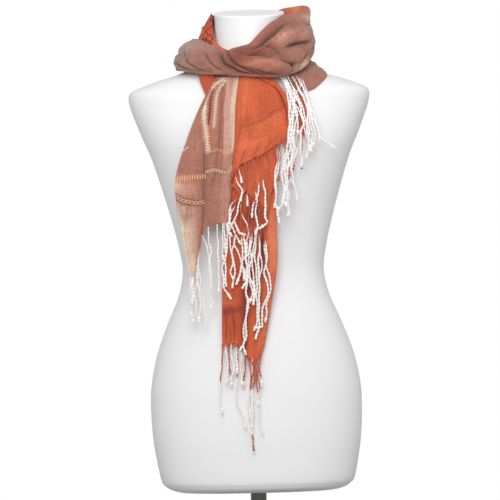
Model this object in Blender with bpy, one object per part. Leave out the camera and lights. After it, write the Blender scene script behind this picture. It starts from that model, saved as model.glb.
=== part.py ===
"""A fringed pashmina shawl looped round the neck of a limbless dress form.

Lengths are in millimetres in the tables and become metres when a mesh is made.
+X is the viewer's right, +Y points away from the viewer and +Z is up. The origin is the
middle of the underside of the stand's base.
"""

import math
from collections import namedtuple

import bmesh
import bpy
from mathutils import Vector

MM = 0.001

# Driving dimensions of the cloth
CLOTH = 2.0
SEAM = 0.3
STRIP_DEPTH = 3.2
STRIP_THICKNESS = 1.8
STRAND_WIDTH = 2.3
NECK_DEPTH_AXIS = -5.0
LAYER_PITCH = 2.75

# Driving dimensions of the dress form and its stand
BASE_RADIUS = 125.0
BASE_THICKNESS = 12.0
BASE_EDGE = 3.0
BASE_SIDES = 48
HUB_RADIUS = 24.0
HUB_HEIGHT = 30.0
HUB_FILLET = 6.0
POLE_RADIUS = 12.5
POLE_SIDES = 32
FORM_BOTTOM = 120.0
CAP_THICKNESS = 4.0
CAP_ROUNDING = 1.2
CAP_INSET = 0.3
FORM_SIDES = 38
FORM_ROUNDNESS = 2.35
BUST_HEIGHT = 648.0
BUST_APART = 70.0
BUST_PROUD = 7.5
BUST_RADIUS = 46.0

# One row for each ring of the torso, from the bottom edge to the neck's rim.
Ring = namedtuple("Ring", "height half_width front back tilt")
FORM_RINGS = [
    Ring(120.0, 96.0, -56.0, 66.0, 0.0),
    Ring(121.5, 120.0, -76.0, 84.0, 0.0),
    Ring(125.0, 134.0, -87.0, 94.0, 0.0),
    Ring(131.0, 145.0, -93.0, 100.0, 0.0),
    Ring(142.0, 152.5, -97.0, 104.0, 0.0),
    Ring(180.0, 160.0, -101.0, 110.0, 0.0),
    Ring(210.0, 164.0, -103.0, 115.0, 0.0),
    Ring(249.0, 166.0, -104.0, 119.0, 0.0),
    Ring(290.0, 164.5, -104.0, 118.0, 0.0),
    Ring(340.0, 154.0, -102.0, 107.0, 0.0),
    Ring(390.0, 135.5, -97.0, 91.0, 0.0),
    Ring(430.0, 118.5, -90.0, 80.0, 0.0),
    Ring(469.0, 111.0, -85.0, 74.0, 0.0),
    Ring(505.0, 115.8, -87.5, 75.5, 0.0),
    Ring(545.0, 125.0, -94.5, 84.0, 0.0),
    Ring(598.0, 140.0, -104.0, 95.5, 0.0),
    Ring(648.0, 156.0, -109.0, 103.0, 0.0),
    Ring(678.0, 168.5, -106.0, 104.0, 0.0),
    Ring(706.0, 179.5, -99.0, 101.0, 0.0),
    Ring(726.0, 186.5, -92.0, 96.0, 0.0),
    Ring(740.0, 189.5, -88.0, 92.0, 0.0),
    Ring(749.0, 188.5, -84.0, 88.0, 0.0),
    Ring(755.0, 182.0, -81.0, 84.0, 0.0),
    Ring(761.0, 167.0, -78.5, 80.5, 0.0),
    Ring(768.0, 148.0, -75.5, 76.5, 0.0),
    Ring(776.0, 120.0, -72.5, 72.0, 0.0),
    Ring(784.0, 99.0, -70.0, 67.5, 0.0),
    Ring(792.0, 81.5, -68.0, 63.0, 0.0),
    Ring(800.0, 68.5, -66.0, 59.0, 0.01),
    Ring(810.0, 59.5, -64.5, 55.5, 0.02),
    Ring(824.0, 55.5, -63.0, 53.0, 0.045),
    Ring(845.0, 54.5, -62.0, 51.5, 0.08),
    Ring(868.0, 54.3, -61.8, 50.8, 0.103),
]

# One row for each section of the loop round the neck. Angles run from the front (0) to the
# viewer's right (90); each pair is the radius from the neck's axis and the height.
Section = namedtuple("Section", "angle inner top upper valley roll bottom lip")
LOOP_SECTIONS = [
    Section(-120, (79, 832), (86, 836), (98, 829), (107, 815), (112, 800), (109, 786), (101, 786)),
    Section(-90, (80, 830), (86, 834), (102, 826), (112, 813), (117, 798), (113, 786), (103, 789)),
    Section(-68, (77, 828), (83, 832), (100, 825), (111, 811), (117, 796), (113, 783), (103, 786)),
    Section(-48, (72, 825), (78, 829), (94, 822), (105, 808), (112, 793), (108, 779), (98, 781)),
    Section(-30, (63, 813), (69, 817), (85, 815), (97, 804), (106, 790), (103, 776), (95, 777)),
    Section(-12, (63, 814), (69, 818), (84, 815), (95, 803), (107, 789), (103, 773), (93, 775)),
    Section(4, (63, 820), (70, 824), (85, 816), (94, 803), (109, 789), (104, 771), (93, 774)),
    Section(20, (62, 835), (69, 839), (86, 826), (96, 807), (112, 790), (107, 770), (94, 774)),
    Section(36, (64, 852), (71, 856), (93, 838), (102, 813), (116, 792), (110, 771), (96, 776)),
    Section(52, (67, 864), (75, 867), (99, 847), (109, 820), (117, 798), (109, 783), (98, 786)),
    Section(68, (75, 870), (84, 873), (102, 852), (110, 829), (111, 811), (105, 799), (96, 801)),
    Section(86, (87, 871), (96, 874), (105, 857), (107, 839), (106, 823), (103, 809), (94, 806)),
    Section(104, (90, 879), (99, 882), (107, 863), (108, 841), (107, 823), (103, 806), (94, 803)),
    Section(122, (85, 881), (94, 884), (104, 864), (108, 839), (109, 814), (105, 796), (96, 790)),
    Section(142, (75, 881), (84, 884), (98, 862), (105, 836), (109, 811), (106, 792), (98, 788)),
    Section(162, (69, 876), (77, 880), (92, 856), (101, 828), (107, 799), (105, 774), (98, 768)),
    Section(182, (68, 868), (75, 872), (91, 849), (101, 821), (107, 793), (105, 768), (98, 763.5)),
    Section(204, (69, 857), (76, 861), (92, 842), (102, 817), (107, 792), (105, 770), (98.6, 766)),
    Section(222, (74, 845), (81, 849), (95, 836), (105, 815), (109, 795), (105, 776), (97.5, 774.4)),
    Section(240, (79, 832), (86, 836), (98, 829), (107, 815), (112, 800), (109, 786), (101, 786)),
]
# One row for each crease pressed into the loop: its depth, its half width, and its route as
# (angle, place) pairs, where place runs from 0 at the inner edge to 1 at the lip.
Crease = namedtuple("Crease", "depth width route")
LOOP_CREASES = [
    Crease(6.0, 6.0, [(-24, 0.26), (-6, 0.43), (12, 0.52), (30, 0.58), (44, 0.70)]),
    Crease(4.5, 6.0, [(4, 0.26), (20, 0.25), (34, 0.22), (50, 0.22)]),
    Crease(4.5, 5.0, [(36, 0.44), (56, 0.46), (80, 0.50)]),
    Crease(4.0, 6.0, [(-22, 0.30), (-14, 0.60), (-4, 0.92)]),
    Crease(3.5, 6.0, [(-36, 0.30), (-30, 0.62), (-20, 0.90)]),
    Crease(4.0, 6.5, [(-70, 0.34), (-52, 0.62), (-30, 0.84)]),
    Crease(4.0, 7.0, [(-118, 0.34), (-96, 0.50), (-72, 0.72)]),
    Crease(4.5, 7.0, [(86, 0.64), (116, 0.68), (150, 0.60), (188, 0.66)]),
    Crease(5.0, 7.0, [(84, 0.30), (124, 0.36), (164, 0.34), (206, 0.44), (236, 0.52)]),
    Crease(4.0, 7.0, [(150, 0.80), (184, 0.82), (216, 0.76), (238, 0.72)]),
]
PLACE_LENGTH = 125.0
ANGLE_LENGTH = 1.75
Stretch = namedtuple("Stretch", "first last finish")
LOOP_STRETCHES = {
    "wrap_left": Stretch(0, 4, "mauve_cloth"),
    "wrap_front": Stretch(4, 9, "rust_cloth"),
    "wrap_right": Stretch(9, 13, "mauve_cloth"),
    "wrap_back": Stretch(13, 19, "mauve_cloth"),
}

# The stretch against the neck at the left: radius and height from its top edge to its foot.
Collar = namedtuple("Collar", "angle top high low foot")
COLLAR_SECTIONS = [
    Collar(-46, (66, 812), (67, 809), (69, 806), (71, 803)),
    Collar(-58, (63, 828), (66, 820), (70, 811), (73, 802)),
    Collar(-72, (60, 850), (65, 834), (71, 818), (76, 802)),
    Collar(-88, (58, 875), (67, 852), (75, 830), (79, 804)),
    Collar(-108, (59, 878), (69, 854), (76, 831), (80, 806)),
    Collar(-130, (59.3, 880), (68, 856), (75, 833), (79, 808)),
    Collar(-154, (58.4, 880), (64, 860), (69, 838), (74, 812)),
]

# The lower layer on the right shoulder and the back: its upper edge by radius and height, then
# two lines by the height of the form beneath them and how far they lie off it.
Shoulder = namedtuple("Shoulder", "angle radius top middle middle_lift low low_lift")
SHOULDER_SECTIONS = [
    Shoulder(42, 90.5, 783, 765, 4.0, 745, 4.6),
    Shoulder(54, 91.0, 787, 771, 6.0, 746, 3.6),
    Shoulder(68, 90.5, 794, 780, 6.0, 761, 3.2),
    Shoulder(84, 89.0, 799, 784, 5.5, 775, 3.0),
    Shoulder(98, 88.0, 799, 784, 5.0, 775, 3.0),
    Shoulder(114, 88.5, 795, 779, 5.0, 764, 3.0),
    Shoulder(134, 92.5, 785, 768, 5.0, 749, 3.0),
    Shoulder(156, 92.6, 770, 756, 3.4, 742, 3.0),
    Shoulder(180, 92.8, 765, 752, 3.4, 738, 3.0),
    Shoulder(206, 93.2, 768, 755, 3.4, 744, 3.0),
]

# How far in front of the neck's axis plane the hanging cloth lies at each height, and how fast
# it falls back to either side.
Hang = namedtuple("Hang", "height depth fall")
HANG = [
    Hang(800, 84.0, 62.0),
    Hang(772, 90.0, 60.0),
    Hang(755, 94.0, 42.0),
    Hang(740, 98.5, 29.0),
    Hang(722, 104.0, 16.0),
    Hang(700, 110.5, 9.0),
    Hang(678, 115.5, 9.0),
    Hang(655, 118.5, 11.0),
    Hang(630, 119.5, 13.0),
    Hang(597, 119.5, 15.0),
    Hang(540, 118.5, 16.0),
    Hang(484, 116.5, 16.0),
    Hang(400, 113.0, 16.0),
    Hang(320, 111.0, 16.0),
    Hang(180, 110.0, 16.0),
]
FALL_WIDTH = 115.0

# One row for each fold of a hanging end, from the viewer's left: where it leaves the band,
# two or more places on the way, and its hem, each as x, height and how far it stands forward.
Fold = namedtuple("Fold", "name top chest bust waist low hem")
FRONT_FOLDS = [Fold(*row) for row in [
    ("left edge", (-56, 772, 0), (-77, 727, 2), (-99, 673, 2), (-118, 606, -1), (-113, 534, -3), (-96, 462, -5)),
    ("left face", (-53, 772, 2), (-72, 727, 4), (-91, 668, 4), (-104, 602, 3), (-103, 538, 1), (-91, 470, -3)),
    ("shadow", (-47, 772, 0), (-62, 725, 0), (-71, 664, -1), (-80, 600, -1), (-84, 544, -1), (-85, 487, -3)),
    ("stripe", (-40, 772, 2), (-46, 723, 5), (-53, 662, 6), (-62, 604, 6), (-68, 562, 5), (-70, 529, 3)),
    ("cream left", (-34, 772, 1), (-35, 722, 3), (-40, 662, 4), (-46, 606, 5), (-50, 573, 5), (-53, 542, 4)),
    ("cream right", (-24, 772, 0), (-24, 722, 2), (-27, 668, 2), (-32, 618, 2), (-35, 582, 2), (-38, 548, 2)),
    ("border", (-19, 772, 0), (-18, 725, 1), (-21, 676, 0), (-26, 646, 0), (-29, 622, 0), (-30, 600, 0)),
    ("orange", (-9, 772, 1), (-9, 735, 3), (-10, 704, 4), (-13, 676, 4), (-17, 651, 3), (-21, 628, 2)),
    ("middle", (8, 772, 0), (10, 739, 1), (11, 711, 1), (9, 686, 1), (4, 664, 1), (-2, 640, 1)),
    ("face", (20, 772, 1), (28, 744, 4), (32, 716, 5), (32, 694, 4), (28, 673, 3), (21, 650, 2)),
    ("crease", (28, 772, 0), (44, 746, 0), (49, 720, -1), (50, 700, -1), (47, 682, 0), (41, 664, 0)),
    ("roll", (34, 771, 0), (54, 747, 2), (61, 727, 2), (62, 708, 1), (60, 692, 0), (55, 675, 0)),
    ("turned", (33, 770, -4), (53, 744, -5), (61, 725, -5), (62, 707, -6), (59, 691, -6), (54, 675, -5)),
]]
MIDDLE_FOLDS = [Fold(*row) for row in [
    ("left edge", (-28, 664, 0), (-31, 648, 0), (-33, 630, 0), (-31, 614, 0), (-26, 598, 0), (-18, 583, 0)),
    ("left point", (-18, 668, 0), (-19, 654, 0), (-19, 640, 0), (-17, 622, 0), (-13, 606, 0), (-9, 589, 0)),
    ("first face", (-6, 672, 0), (-6, 656, 0), (-5, 638, 0), (-3, 618, 1), (-1, 598, 1), (1, 577, 1)),
    ("second face", (6, 676, 0), (6, 658, 0), (7, 636, 0), (8, 612, 0), (9, 588, 0), (10, 563, 0)),
    ("third face", (18, 680, 0), (17, 658, 0), (17, 630, 0), (17, 600, 1), (17, 570, 1), (16, 541, 1)),
    ("low point", (31, 684, 0), (29, 656, 0), (27, 624, 0), (27, 588, 0), (27, 552, 0), (25, 518, 0)),
    ("right edge", (43, 688, 0), (41, 657, 0), (37, 625, 0), (37, 590, 0), (38, 553, 0), (37, 516, 0)),
]]
LONG_FOLDS = [Fold(*row) for row in [
    ("left edge", (-24, 724, 0), (-28, 640, 0), (-36, 566, 0), (-47, 480, 0), (-50, 410, 0), (-51, 353, 0)),
    ("left lobe", (-14, 724, 0), (-18, 636, 0), (-24, 560, 0), (-33, 478, 2), (-37, 412, 4), (-38, 358, 4)),
    ("lobe side", (-4, 724, 0), (-6, 632, 0), (-10, 556, 0), (-17, 480, 1), (-22, 418, 2), (-23, 364, 2)),
    ("shadow", (6, 724, 0), (6, 630, 0), (3, 560, -1), (-3, 488, -2), (-9, 428, -3), (-13, 374, -3)),
    ("inner side", (15, 724, 0), (17, 632, 0), (16, 556, 0), (11, 480, 2), (3, 412, 3), (-5, 350, 3)),
    ("right lobe", (26, 724, 0), (29, 636, 0), (28, 556, 0), (26, 478, 2), (17, 402, 4), (5, 334, 4)),
    ("right edge", (41, 724, 0), (40, 640, 0), (38, 566, 0), (38, 482, 0), (27, 418, 0), (19, 368, 0)),
]]
SIDE_FOLDS = [Fold(*row) for row in [
    ("left edge", (66, 744.6, 0.6), (69, 733, 1), (72, 722, 1), (73, 711, 1), (74, 700, 1), (73, 690, 1)),
    ("face", (74, 744.6, 1.6), (77, 732, 2), (80, 719, 3), (81, 707, 3), (81, 694, 3), (80, 682, 2)),
    ("right edge", (82, 744.4, 2.6), (86, 731, 3), (88, 717, 3), (89, 703, 3), (87, 688, 2), (84, 674, 2)),
]]
TUCK_FOLDS = [Fold(*row) for row in [
    ("left edge", (-79, 776, 11), (-79, 772, 11), (-78, 767, 9), (-76, 762, 7), (-74, 756, 5), (-71, 750, 3)),
    ("face", (-70, 776, 11), (-70, 771, 11), (-70, 766, 9), (-69, 760, 7), (-69, 754, 5), (-68, 747, 4)),
    ("right edge", (-63, 775, 8), (-63, 770, 7), (-64, 765, 6), (-65, 760, 5), (-65, 755, 4), (-66, 750, 3)),
]]

# One row for each hanging end: its folds, the layer it hangs in and its cells.
End = namedtuple("End", "folds layer cells_across cells_down")
ENDS = {
    "front_end": End(FRONT_FOLDS, 2.3, 24, 12),
    "middle_end": End(MIDDLE_FOLDS, 1.35, 12, 6),
    "long_end": End(LONG_FOLDS, 0.0, 12, 14),
    "side_end": End(SIDE_FOLDS, 0.0, 4, 6),
    "tuck_left": End(TUCK_FOLDS, 0.0, 4, 4),
}

# One row for each fringe: the end it hangs from, the hem's first and last cell, strands in each
# cell, their lengths and sideways drift at its two ends, and how far in front they fall.
Fringe = namedtuple(
    "Fringe", "end first last per_cell length_first length_last drift_first drift_last stand_off"
)
FRINGES = {
    "fringe_corner": Fringe("front_end", 0, 10, 1, 72, 104, 7, 2, 9.0),
    "fringe_front": Fringe("front_end", 14, 22, 2, 56, 76, -4, -2, 14.0),
    "fringe_middle": Fringe("middle_end", 2, 12, 1, 92, 84, 1, -5, 9.0),
    "fringe_long_left": Fringe("long_end", 0, 5, 2, 66, 84, 0, -3, 5.0),
    "fringe_long_right": Fringe("long_end", 8, 11, 2, 84, 96, -5, 3, 5.0),
    "fringe_side": Fringe("band", 0, 11, 1, 76, 100, 4, 34, 15.5),
}
STRAND_STEPS = 6
STRAND_WAVE = 0.8
STRAND_SETTLES = 5.0
LENGTH_UNEVEN = 0.16
NEIGHBOUR_STEP = 2.9
STRAND_RHYTHM = 2.4
SWAY_RHYTHM = 1.9

# The hidden edge under the band that the side fringe hangs from: angle, radius, height.
Edge = namedtuple("Edge", "angle radius height")
SIDE_EDGE = [Edge(20, 101.5, 768.7), Edge(28, 102.5, 769.0), Edge(37, 104, 769.8), Edge(45, 104, 774.2)]

# Cells of each stretch round the neck: along it, then across it.
LOOP_CELLS = 16
COLLAR_CELLS = (12, 6)
SHOULDER_CELLS = (22, 4)
SHORTEST_SPAN = 14.0

# Name: base colour, roughness, metallic
FINISHES = {
    "orange_cloth": ((0.60, 0.14, 0.06), 0.85, 0.0),
    "mauve_cloth": ((0.40, 0.20, 0.15), 0.85, 0.0),
    "rust_cloth": ((0.30, 0.11, 0.07), 0.85, 0.0),
    "white_fringe": ((0.82, 0.78, 0.75), 0.8, 0.0),
    "form_white": ((0.80, 0.79, 0.81), 0.35, 0.0),
    "cap_grey": ((0.68, 0.68, 0.70), 0.45, 0.0),
    "stand_steel": ((0.55, 0.55, 0.56), 0.25, 1.0),
}


def clear_scene():
    for thing in list(bpy.data.objects):
        bpy.data.objects.remove(thing, do_unlink=True)


def finish(name):
    """The Principled material of one finish, made once."""
    material = bpy.data.materials.get(name)
    if material is None:
        colour, roughness, metallic = FINISHES[name]
        material = bpy.data.materials.new(name)
        material.use_nodes = True
        shader = material.node_tree.nodes["Principled BSDF"]
        shader.inputs["Base Color"].default_value = (*colour, 1.0)
        shader.inputs["Roughness"].default_value = roughness
        shader.inputs["Metallic"].default_value = metallic
    return material


def add_object(name, shape, finish_name):
    """Make an object of a bmesh in millimetres, smooth but for its sharp edges."""
    bmesh.ops.scale(shape, vec=(MM, MM, MM), verts=shape.verts)
    bmesh.ops.recalc_face_normals(shape, faces=shape.faces)
    mesh = bpy.data.meshes.new(name)
    shape.to_mesh(mesh)
    shape.free()
    mesh.shade_smooth()
    mesh.set_sharp_from_angle(angle=math.radians(50))
    thing = bpy.data.objects.new(name, mesh)
    bpy.context.scene.collection.objects.link(thing)
    mesh.materials.append(finish(finish_name))
    return thing


def along(stations, place):
    """A smooth curve through equally spaced stations, read at place from 0 to 1."""
    spans = len(stations) - 1
    scaled = min(max(place, 0.0), 1.0) * spans
    index = min(int(scaled), spans - 1)
    part = scaled - index
    here, there = stations[index], stations[index + 1]
    before = stations[index - 1] if index > 0 else here * 2 - there
    after = stations[index + 2] if index + 2 <= spans else there * 2 - here
    return 0.5 * (
        here * 2
        + (there - before) * part
        + (before * 2 - here * 5 + there * 4 - after) * part**2
        + (here * 3 - before - there * 3 + after) * part**3
    )


def steady(rows, key, height, column):
    """Read one column of a table at a height, along straight lines between its rows."""
    ordered = sorted(rows, key=lambda row: getattr(row, key))
    if height <= getattr(ordered[0], key):
        return getattr(ordered[0], column)
    for low, high in zip(ordered, ordered[1:]):
        if height <= getattr(high, key):
            part = (height - getattr(low, key)) / (getattr(high, key) - getattr(low, key))
            return getattr(low, column) * (1 - part) + getattr(high, column) * part
    return getattr(ordered[-1], column)


def bust_swell(x, height):
    """How far the general bust stands forward of the chest's plain section."""
    side = (abs(x) - BUST_APART) ** 2 + (height - BUST_HEIGHT) ** 2
    return BUST_PROUD * math.exp(-side / (2 * BUST_RADIUS**2))


def form_point(ring, turn):
    """A point of one torso ring, with turn running round from the viewer's right."""
    power = 2 / FORM_ROUNDNESS
    cosine, sine = math.cos(turn), math.sin(turn)
    x = math.copysign(abs(cosine) ** power, cosine) * ring.half_width
    reach = ring.back if sine > 0 else -ring.front
    y = math.copysign(abs(sine) ** power, sine) * reach
    if sine < 0:
        y -= bust_swell(x, ring.height) * abs(sine)
    return Vector((x, y, ring.height + ring.tilt * (y - NECK_DEPTH_AXIS)))


def form_radius(angle, height):
    """Distance from the neck's axis to the torso at one angle and height."""
    half_width = steady(FORM_RINGS, "height", height, "half_width")
    front = -steady(FORM_RINGS, "height", height, "front")
    back = steady(FORM_RINGS, "height", height, "back")
    inside, outside = 0.0, 260.0
    while outside - inside > 0.02:
        radius = (inside + outside) / 2
        x, y = around(angle, radius, height).xy
        reach = back if y > 0 else front + bust_swell(x, height)
        size = (abs(x) / half_width) ** FORM_ROUNDNESS + (abs(y) / reach) ** FORM_ROUNDNESS
        if size < 1:
            inside = radius
        else:
            outside = radius
    return outside


def around(angle, radius, height):
    """A point by its angle from the front, radius from the neck's axis and height."""
    turn = math.radians(angle)
    return Vector((radius * math.sin(turn), NECK_DEPTH_AXIS - radius * math.cos(turn), height))


def off_form(angle, height, lift):
    """The torso's point at an angle and height, moved out square to its surface."""
    here = around(angle, form_radius(angle, height), height)
    turned = around(angle + 2, form_radius(angle + 2, height), height)
    higher = around(angle, form_radius(angle, height + 2), height + 2)
    return here + (turned - here).cross(higher - here).normalized() * lift


def hang_point(x, height, layer, forward):
    """A point of the hanging cloth: layer 0 lies next to the form."""
    depth = steady(HANG, "height", height, "depth")
    fall = steady(HANG, "height", height, "fall") * (x / FALL_WIDTH) ** 2
    return Vector((x, -(depth - fall + layer * LAYER_PITCH + forward), height))


def grid_of(point_at, cells_round, cells_down):
    """Points of a surface, as rows of equal length."""
    return [
        [point_at(i / cells_round, j / cells_down) for j in range(cells_down + 1)]
        for i in range(cells_round + 1)
    ]


def grid_normals(grid):
    """Unit normals of a grid of points."""
    rows, columns = len(grid), len(grid[0])
    normals = []
    for i in range(rows):
        line = []
        for j in range(columns):
            across = grid[min(i + 1, rows - 1)][j] - grid[max(i - 1, 0)][j]
            down = grid[i][min(j + 1, columns - 1)] - grid[i][max(j - 1, 0)]
            line.append(down.cross(across).normalized())
        normals.append(line)
    return normals


def add_wall(name, grid, finish_name, normals=None, thickness=CLOTH):
    """A closed cloth wall on a grid of points, half its thickness to each side."""
    normals = normals or grid_normals(grid)
    rows, columns = len(grid), len(grid[0])
    shape = bmesh.new()
    sides = []
    for offset in (thickness / 2, -thickness / 2):
        sides.append(
            [
                [shape.verts.new(grid[i][j] + normals[i][j] * offset) for j in range(columns)]
                for i in range(rows)
            ]
        )
    outer, inner = sides
    for i in range(rows - 1):
        for j in range(columns - 1):
            shape.faces.new((outer[i][j], outer[i + 1][j], outer[i + 1][j + 1], outer[i][j + 1]))
            shape.faces.new((inner[i][j], inner[i][j + 1], inner[i + 1][j + 1], inner[i + 1][j]))
    rim = [(i, 0) for i in range(rows)]
    rim += [(rows - 1, j) for j in range(1, columns)]
    rim += [(i, columns - 1) for i in range(rows - 2, -1, -1)]
    rim += [(0, j) for j in range(columns - 2, 0, -1)]
    for (i, j), (k, m) in zip(rim, rim[1:] + rim[:1]):
        shape.faces.new((outer[i][j], inner[i][j], inner[k][m], outer[k][m]))
    return add_object(name, shape, finish_name)


def net_through(stations):
    """A surface through rows of points."""
    return lambda across, down: along([along(row, down) for row in stations], across)


def polar_net(stations):
    """A surface through sections of (angle, radius, height) stations."""

    def point_at(round_place, down_place):
        section = [along(row, down_place) for row in stations]
        return around(*along(section, round_place))

    return point_at


def net_normal(point_at, round_place, down_place, step=0.0005):
    """The unit normal of a surface, square to both of its directions."""
    above, below = max(down_place - step, 0.0), min(down_place + step, 1.0)
    round_way = point_at(round_place + step, down_place) - point_at(round_place - step, down_place)
    down_way = point_at(round_place, below) - point_at(round_place, above)
    return down_way.cross(round_way).normalized()


def crease_press(angle, place):
    """How deep the creases press the loop in at one angle and place across it."""
    here = Vector((angle * ANGLE_LENGTH, place * PLACE_LENGTH))
    pressed = 0.0
    for crease in LOOP_CREASES:
        route = [Vector((a * ANGLE_LENGTH, b * PLACE_LENGTH)) for a, b in crease.route]
        nearest, travelled = None, 0.0
        for start, stop in zip(route, route[1:]):
            run = stop - start
            part = min(max((here - start).dot(run) / run.length_squared, 0.0), 1.0)
            away = (here - start - run * part).length
            if nearest is None or away < nearest[0]:
                nearest = (away, travelled + run.length * part)
            travelled += run.length
        away, passed = nearest
        taper = math.sin(math.pi * min(max(passed / travelled, 0.0), 1.0)) ** 0.5
        pressed += crease.depth * taper * math.exp(-0.5 * (away / crease.width) ** 2)
    return pressed


def make_loop():
    """The four stretches of the loop, parted by a seam's gap."""
    stations = [[Vector((row.angle, *pair)) for pair in row[1:]] for row in LOOP_SECTIONS]
    full_turn = Vector((360, 0, 0))
    before = [station - full_turn for station in stations[-2]]
    after = [station + full_turn for station in stations[1]]
    sections = [before, *stations, after]
    whole = polar_net(sections)
    spans = len(sections) - 1
    trim = SEAM / 2 / SHORTEST_SPAN
    for name, stretch in LOOP_STRETCHES.items():
        start, stop = (1 + stretch.first + trim) / spans, (1 + stretch.last - trim) / spans
        cells = 2 * (stretch.last - stretch.first) + 1
        grid, normals = [], []
        for i in range(cells + 1):
            place = start + (stop - start) * i / cells
            angle = along([section[0] for section in sections], place).x
            normals.append([net_normal(whole, place, j / LOOP_CELLS) for j in range(LOOP_CELLS + 1)])
            grid.append(
                [
                    whole(place, j / LOOP_CELLS) - normal * crease_press(angle, j / LOOP_CELLS)
                    for j, normal in enumerate(normals[-1])
                ]
            )
        add_wall(name, grid, stretch.finish, normals)


def make_collar():
    """The stretch that stands against the neck at the left."""
    stations = [[Vector((row.angle, *pair)) for pair in row[1:]] for row in COLLAR_SECTIONS]
    add_wall("collar_left", grid_of(polar_net(stations), *COLLAR_CELLS), "orange_cloth")


def make_shoulder_fold():
    """The lower layer that lies on the shoulder and the upper back."""
    stations = []
    for row in SHOULDER_SECTIONS:
        stations.append(
            [
                around(row.angle, row.radius, row.top),
                off_form(row.angle, row.middle, row.middle_lift),
                off_form(row.angle, row.low, row.low_lift),
            ]
        )
    add_wall("shoulder_fold", grid_of(net_through(stations), *SHOULDER_CELLS), "mauve_cloth")


def make_end(name):
    """A hanging end as a wall; returns its hem's points and normals for the fringe."""
    end = ENDS[name]
    stations = []
    for fold in end.folds:
        stations.append([hang_point(x, height, end.layer, forward) for x, height, forward in fold[1:]])
    grid = grid_of(net_through(stations), end.cells_across, end.cells_down)
    normals = grid_normals(grid)
    add_wall(name, grid, "orange_cloth", normals)
    return [line[-1] for line in grid], [line[-1] for line in normals]


def hem_corners(hem, first, last):
    """The way out of the cloth, square to the hem, at each of its points and in each cell."""
    points, normals = hem
    cells = []
    for i in range(first, last):
        side = points[i + 1] - points[i]
        cells.append(side.cross(normals[i] + normals[i + 1]).normalized())
    corners = [cells[0]]
    for a, b in zip(cells, cells[1:]):
        middle = (a + b).normalized()
        corners.append(middle / middle.dot(a))
    corners.append(cells[-1])
    return cells, corners


def make_fringe(name, hem):
    """A narrow strip past a stretch of the hem, with its strands."""
    points, normals = hem
    style = FRINGES[name]
    first, last = style.first, style.last
    cells, corners = hem_corners(hem, first, last)
    shape = bmesh.new()
    sections, strands = [], []

    def add_section(point, out, normal):
        near, far = point + out * SEAM, point + out * (SEAM + STRIP_DEPTH)
        lift = normal.normalized() * STRIP_THICKNESS / 2
        corner_points = (near + lift, near - lift, far - lift, far + lift)
        sections.append([shape.verts.new(spot) for spot in corner_points])

    for i in range(first, last):
        add_section(points[i], corners[i - first], normals[i])
        side = points[i + 1] - points[i]
        half = STRAND_WIDTH / 2 / side.length
        for k in range(style.per_cell):
            centre = (k + 0.5) / style.per_cell
            strands.append(len(sections))
            for place in (centre - half, centre + half):
                normal = normals[i].lerp(normals[i + 1], place)
                add_section(points[i] + side * place, cells[i - first], normal)
    add_section(points[last], corners[-1], normals[last])

    for i, (here, there) in enumerate(zip(sections, sections[1:])):
        for j in range(4):
            if j == 2 and i in strands:
                continue
            shape.faces.new((here[j], there[j], there[(j + 1) % 4], here[(j + 1) % 4]))
    shape.faces.new(sections[0])
    shape.faces.new(sections[-1])
    for number, i in enumerate(strands):
        part = number / max(len(strands) - 1, 1)
        length = style.length_first + (style.length_last - style.length_first) * part
        length *= 1 + LENGTH_UNEVEN * math.sin(STRAND_RHYTHM * number + 1.0)
        drift = style.drift_first + (style.drift_last - style.drift_first) * part
        root = [sections[i][3], sections[i + 1][3], sections[i + 1][2], sections[i][2]]
        stand_off = style.stand_off + NEIGHBOUR_STEP * (number % 2)
        add_strand(shape, root, length, drift, stand_off, number)
    add_object(name, shape, "white_fringe")


def add_strand(shape, root, length, drift, stand_off, number):
    """A four-sided strand that hangs from the face between four root points."""
    start = sum((vert.co for vert in root), Vector()) / 4
    half = STRAND_WIDTH / 2
    square = [(-half, -half), (half, -half), (half, half), (-half, half)]
    before = root
    for step in range(1, STRAND_STEPS + 1):
        part = step / STRAND_STEPS
        sway = STRAND_WAVE * math.sin(5.0 * part + SWAY_RHYTHM * number) * part
        centre = start + Vector((drift * part**1.5 + sway, 0.0, -length * part))
        fallen = min(STRAND_SETTLES * part, 1.0)
        centre.y = start.y * (1 - fallen) + hang_point(centre.x, centre.z, 0, stand_off).y * fallen
        ring = [shape.verts.new(centre + Vector((x, y, 0.0))) for x, y in square]
        for j in range(4):
            shape.faces.new((before[j], before[(j + 1) % 4], ring[(j + 1) % 4], ring[j]))
        before = ring
    shape.faces.new(before)


def band_hem():
    """The hidden edge of the side fringe, just under the band."""
    rows = [Vector(row) for row in SIDE_EDGE]
    cells = FRINGES["fringe_side"].last
    points = [around(*along(rows, i / cells)) for i in range(cells + 1)]
    normals = [Vector((point.x, point.y - NECK_DEPTH_AXIS, 0)).normalized() for point in points]
    return points, normals


def make_ends():
    """The hanging ends and the fringe along their hems."""
    hems = {name: make_end(name) for name in ENDS}
    hems["band"] = band_hem()
    for name, style in FRINGES.items():
        make_fringe(name, hems[style.end])


def add_lofted(name, loops, finish_name):
    """A solid through closed loops of points, bottom to top."""
    shape = bmesh.new()
    rings = [[shape.verts.new(point) for point in loop] for loop in loops]
    count = len(rings[0])
    for low, high in zip(rings, rings[1:]):
        for k in range(count):
            beside = (k + 1) % count
            shape.faces.new((low[k], low[beside], high[beside], high[k]))
    shape.faces.new(list(reversed(rings[0])))
    shape.faces.new(rings[-1])
    return add_object(name, shape, finish_name)


def form_loop(ring):
    """The points of one torso ring."""
    return [form_point(ring, 2 * math.pi * k / FORM_SIDES) for k in range(FORM_SIDES)]


def make_form():
    """The torso, lofted through its rings."""
    add_lofted("torso_form", [form_loop(ring) for ring in FORM_RINGS], "form_white")


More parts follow.
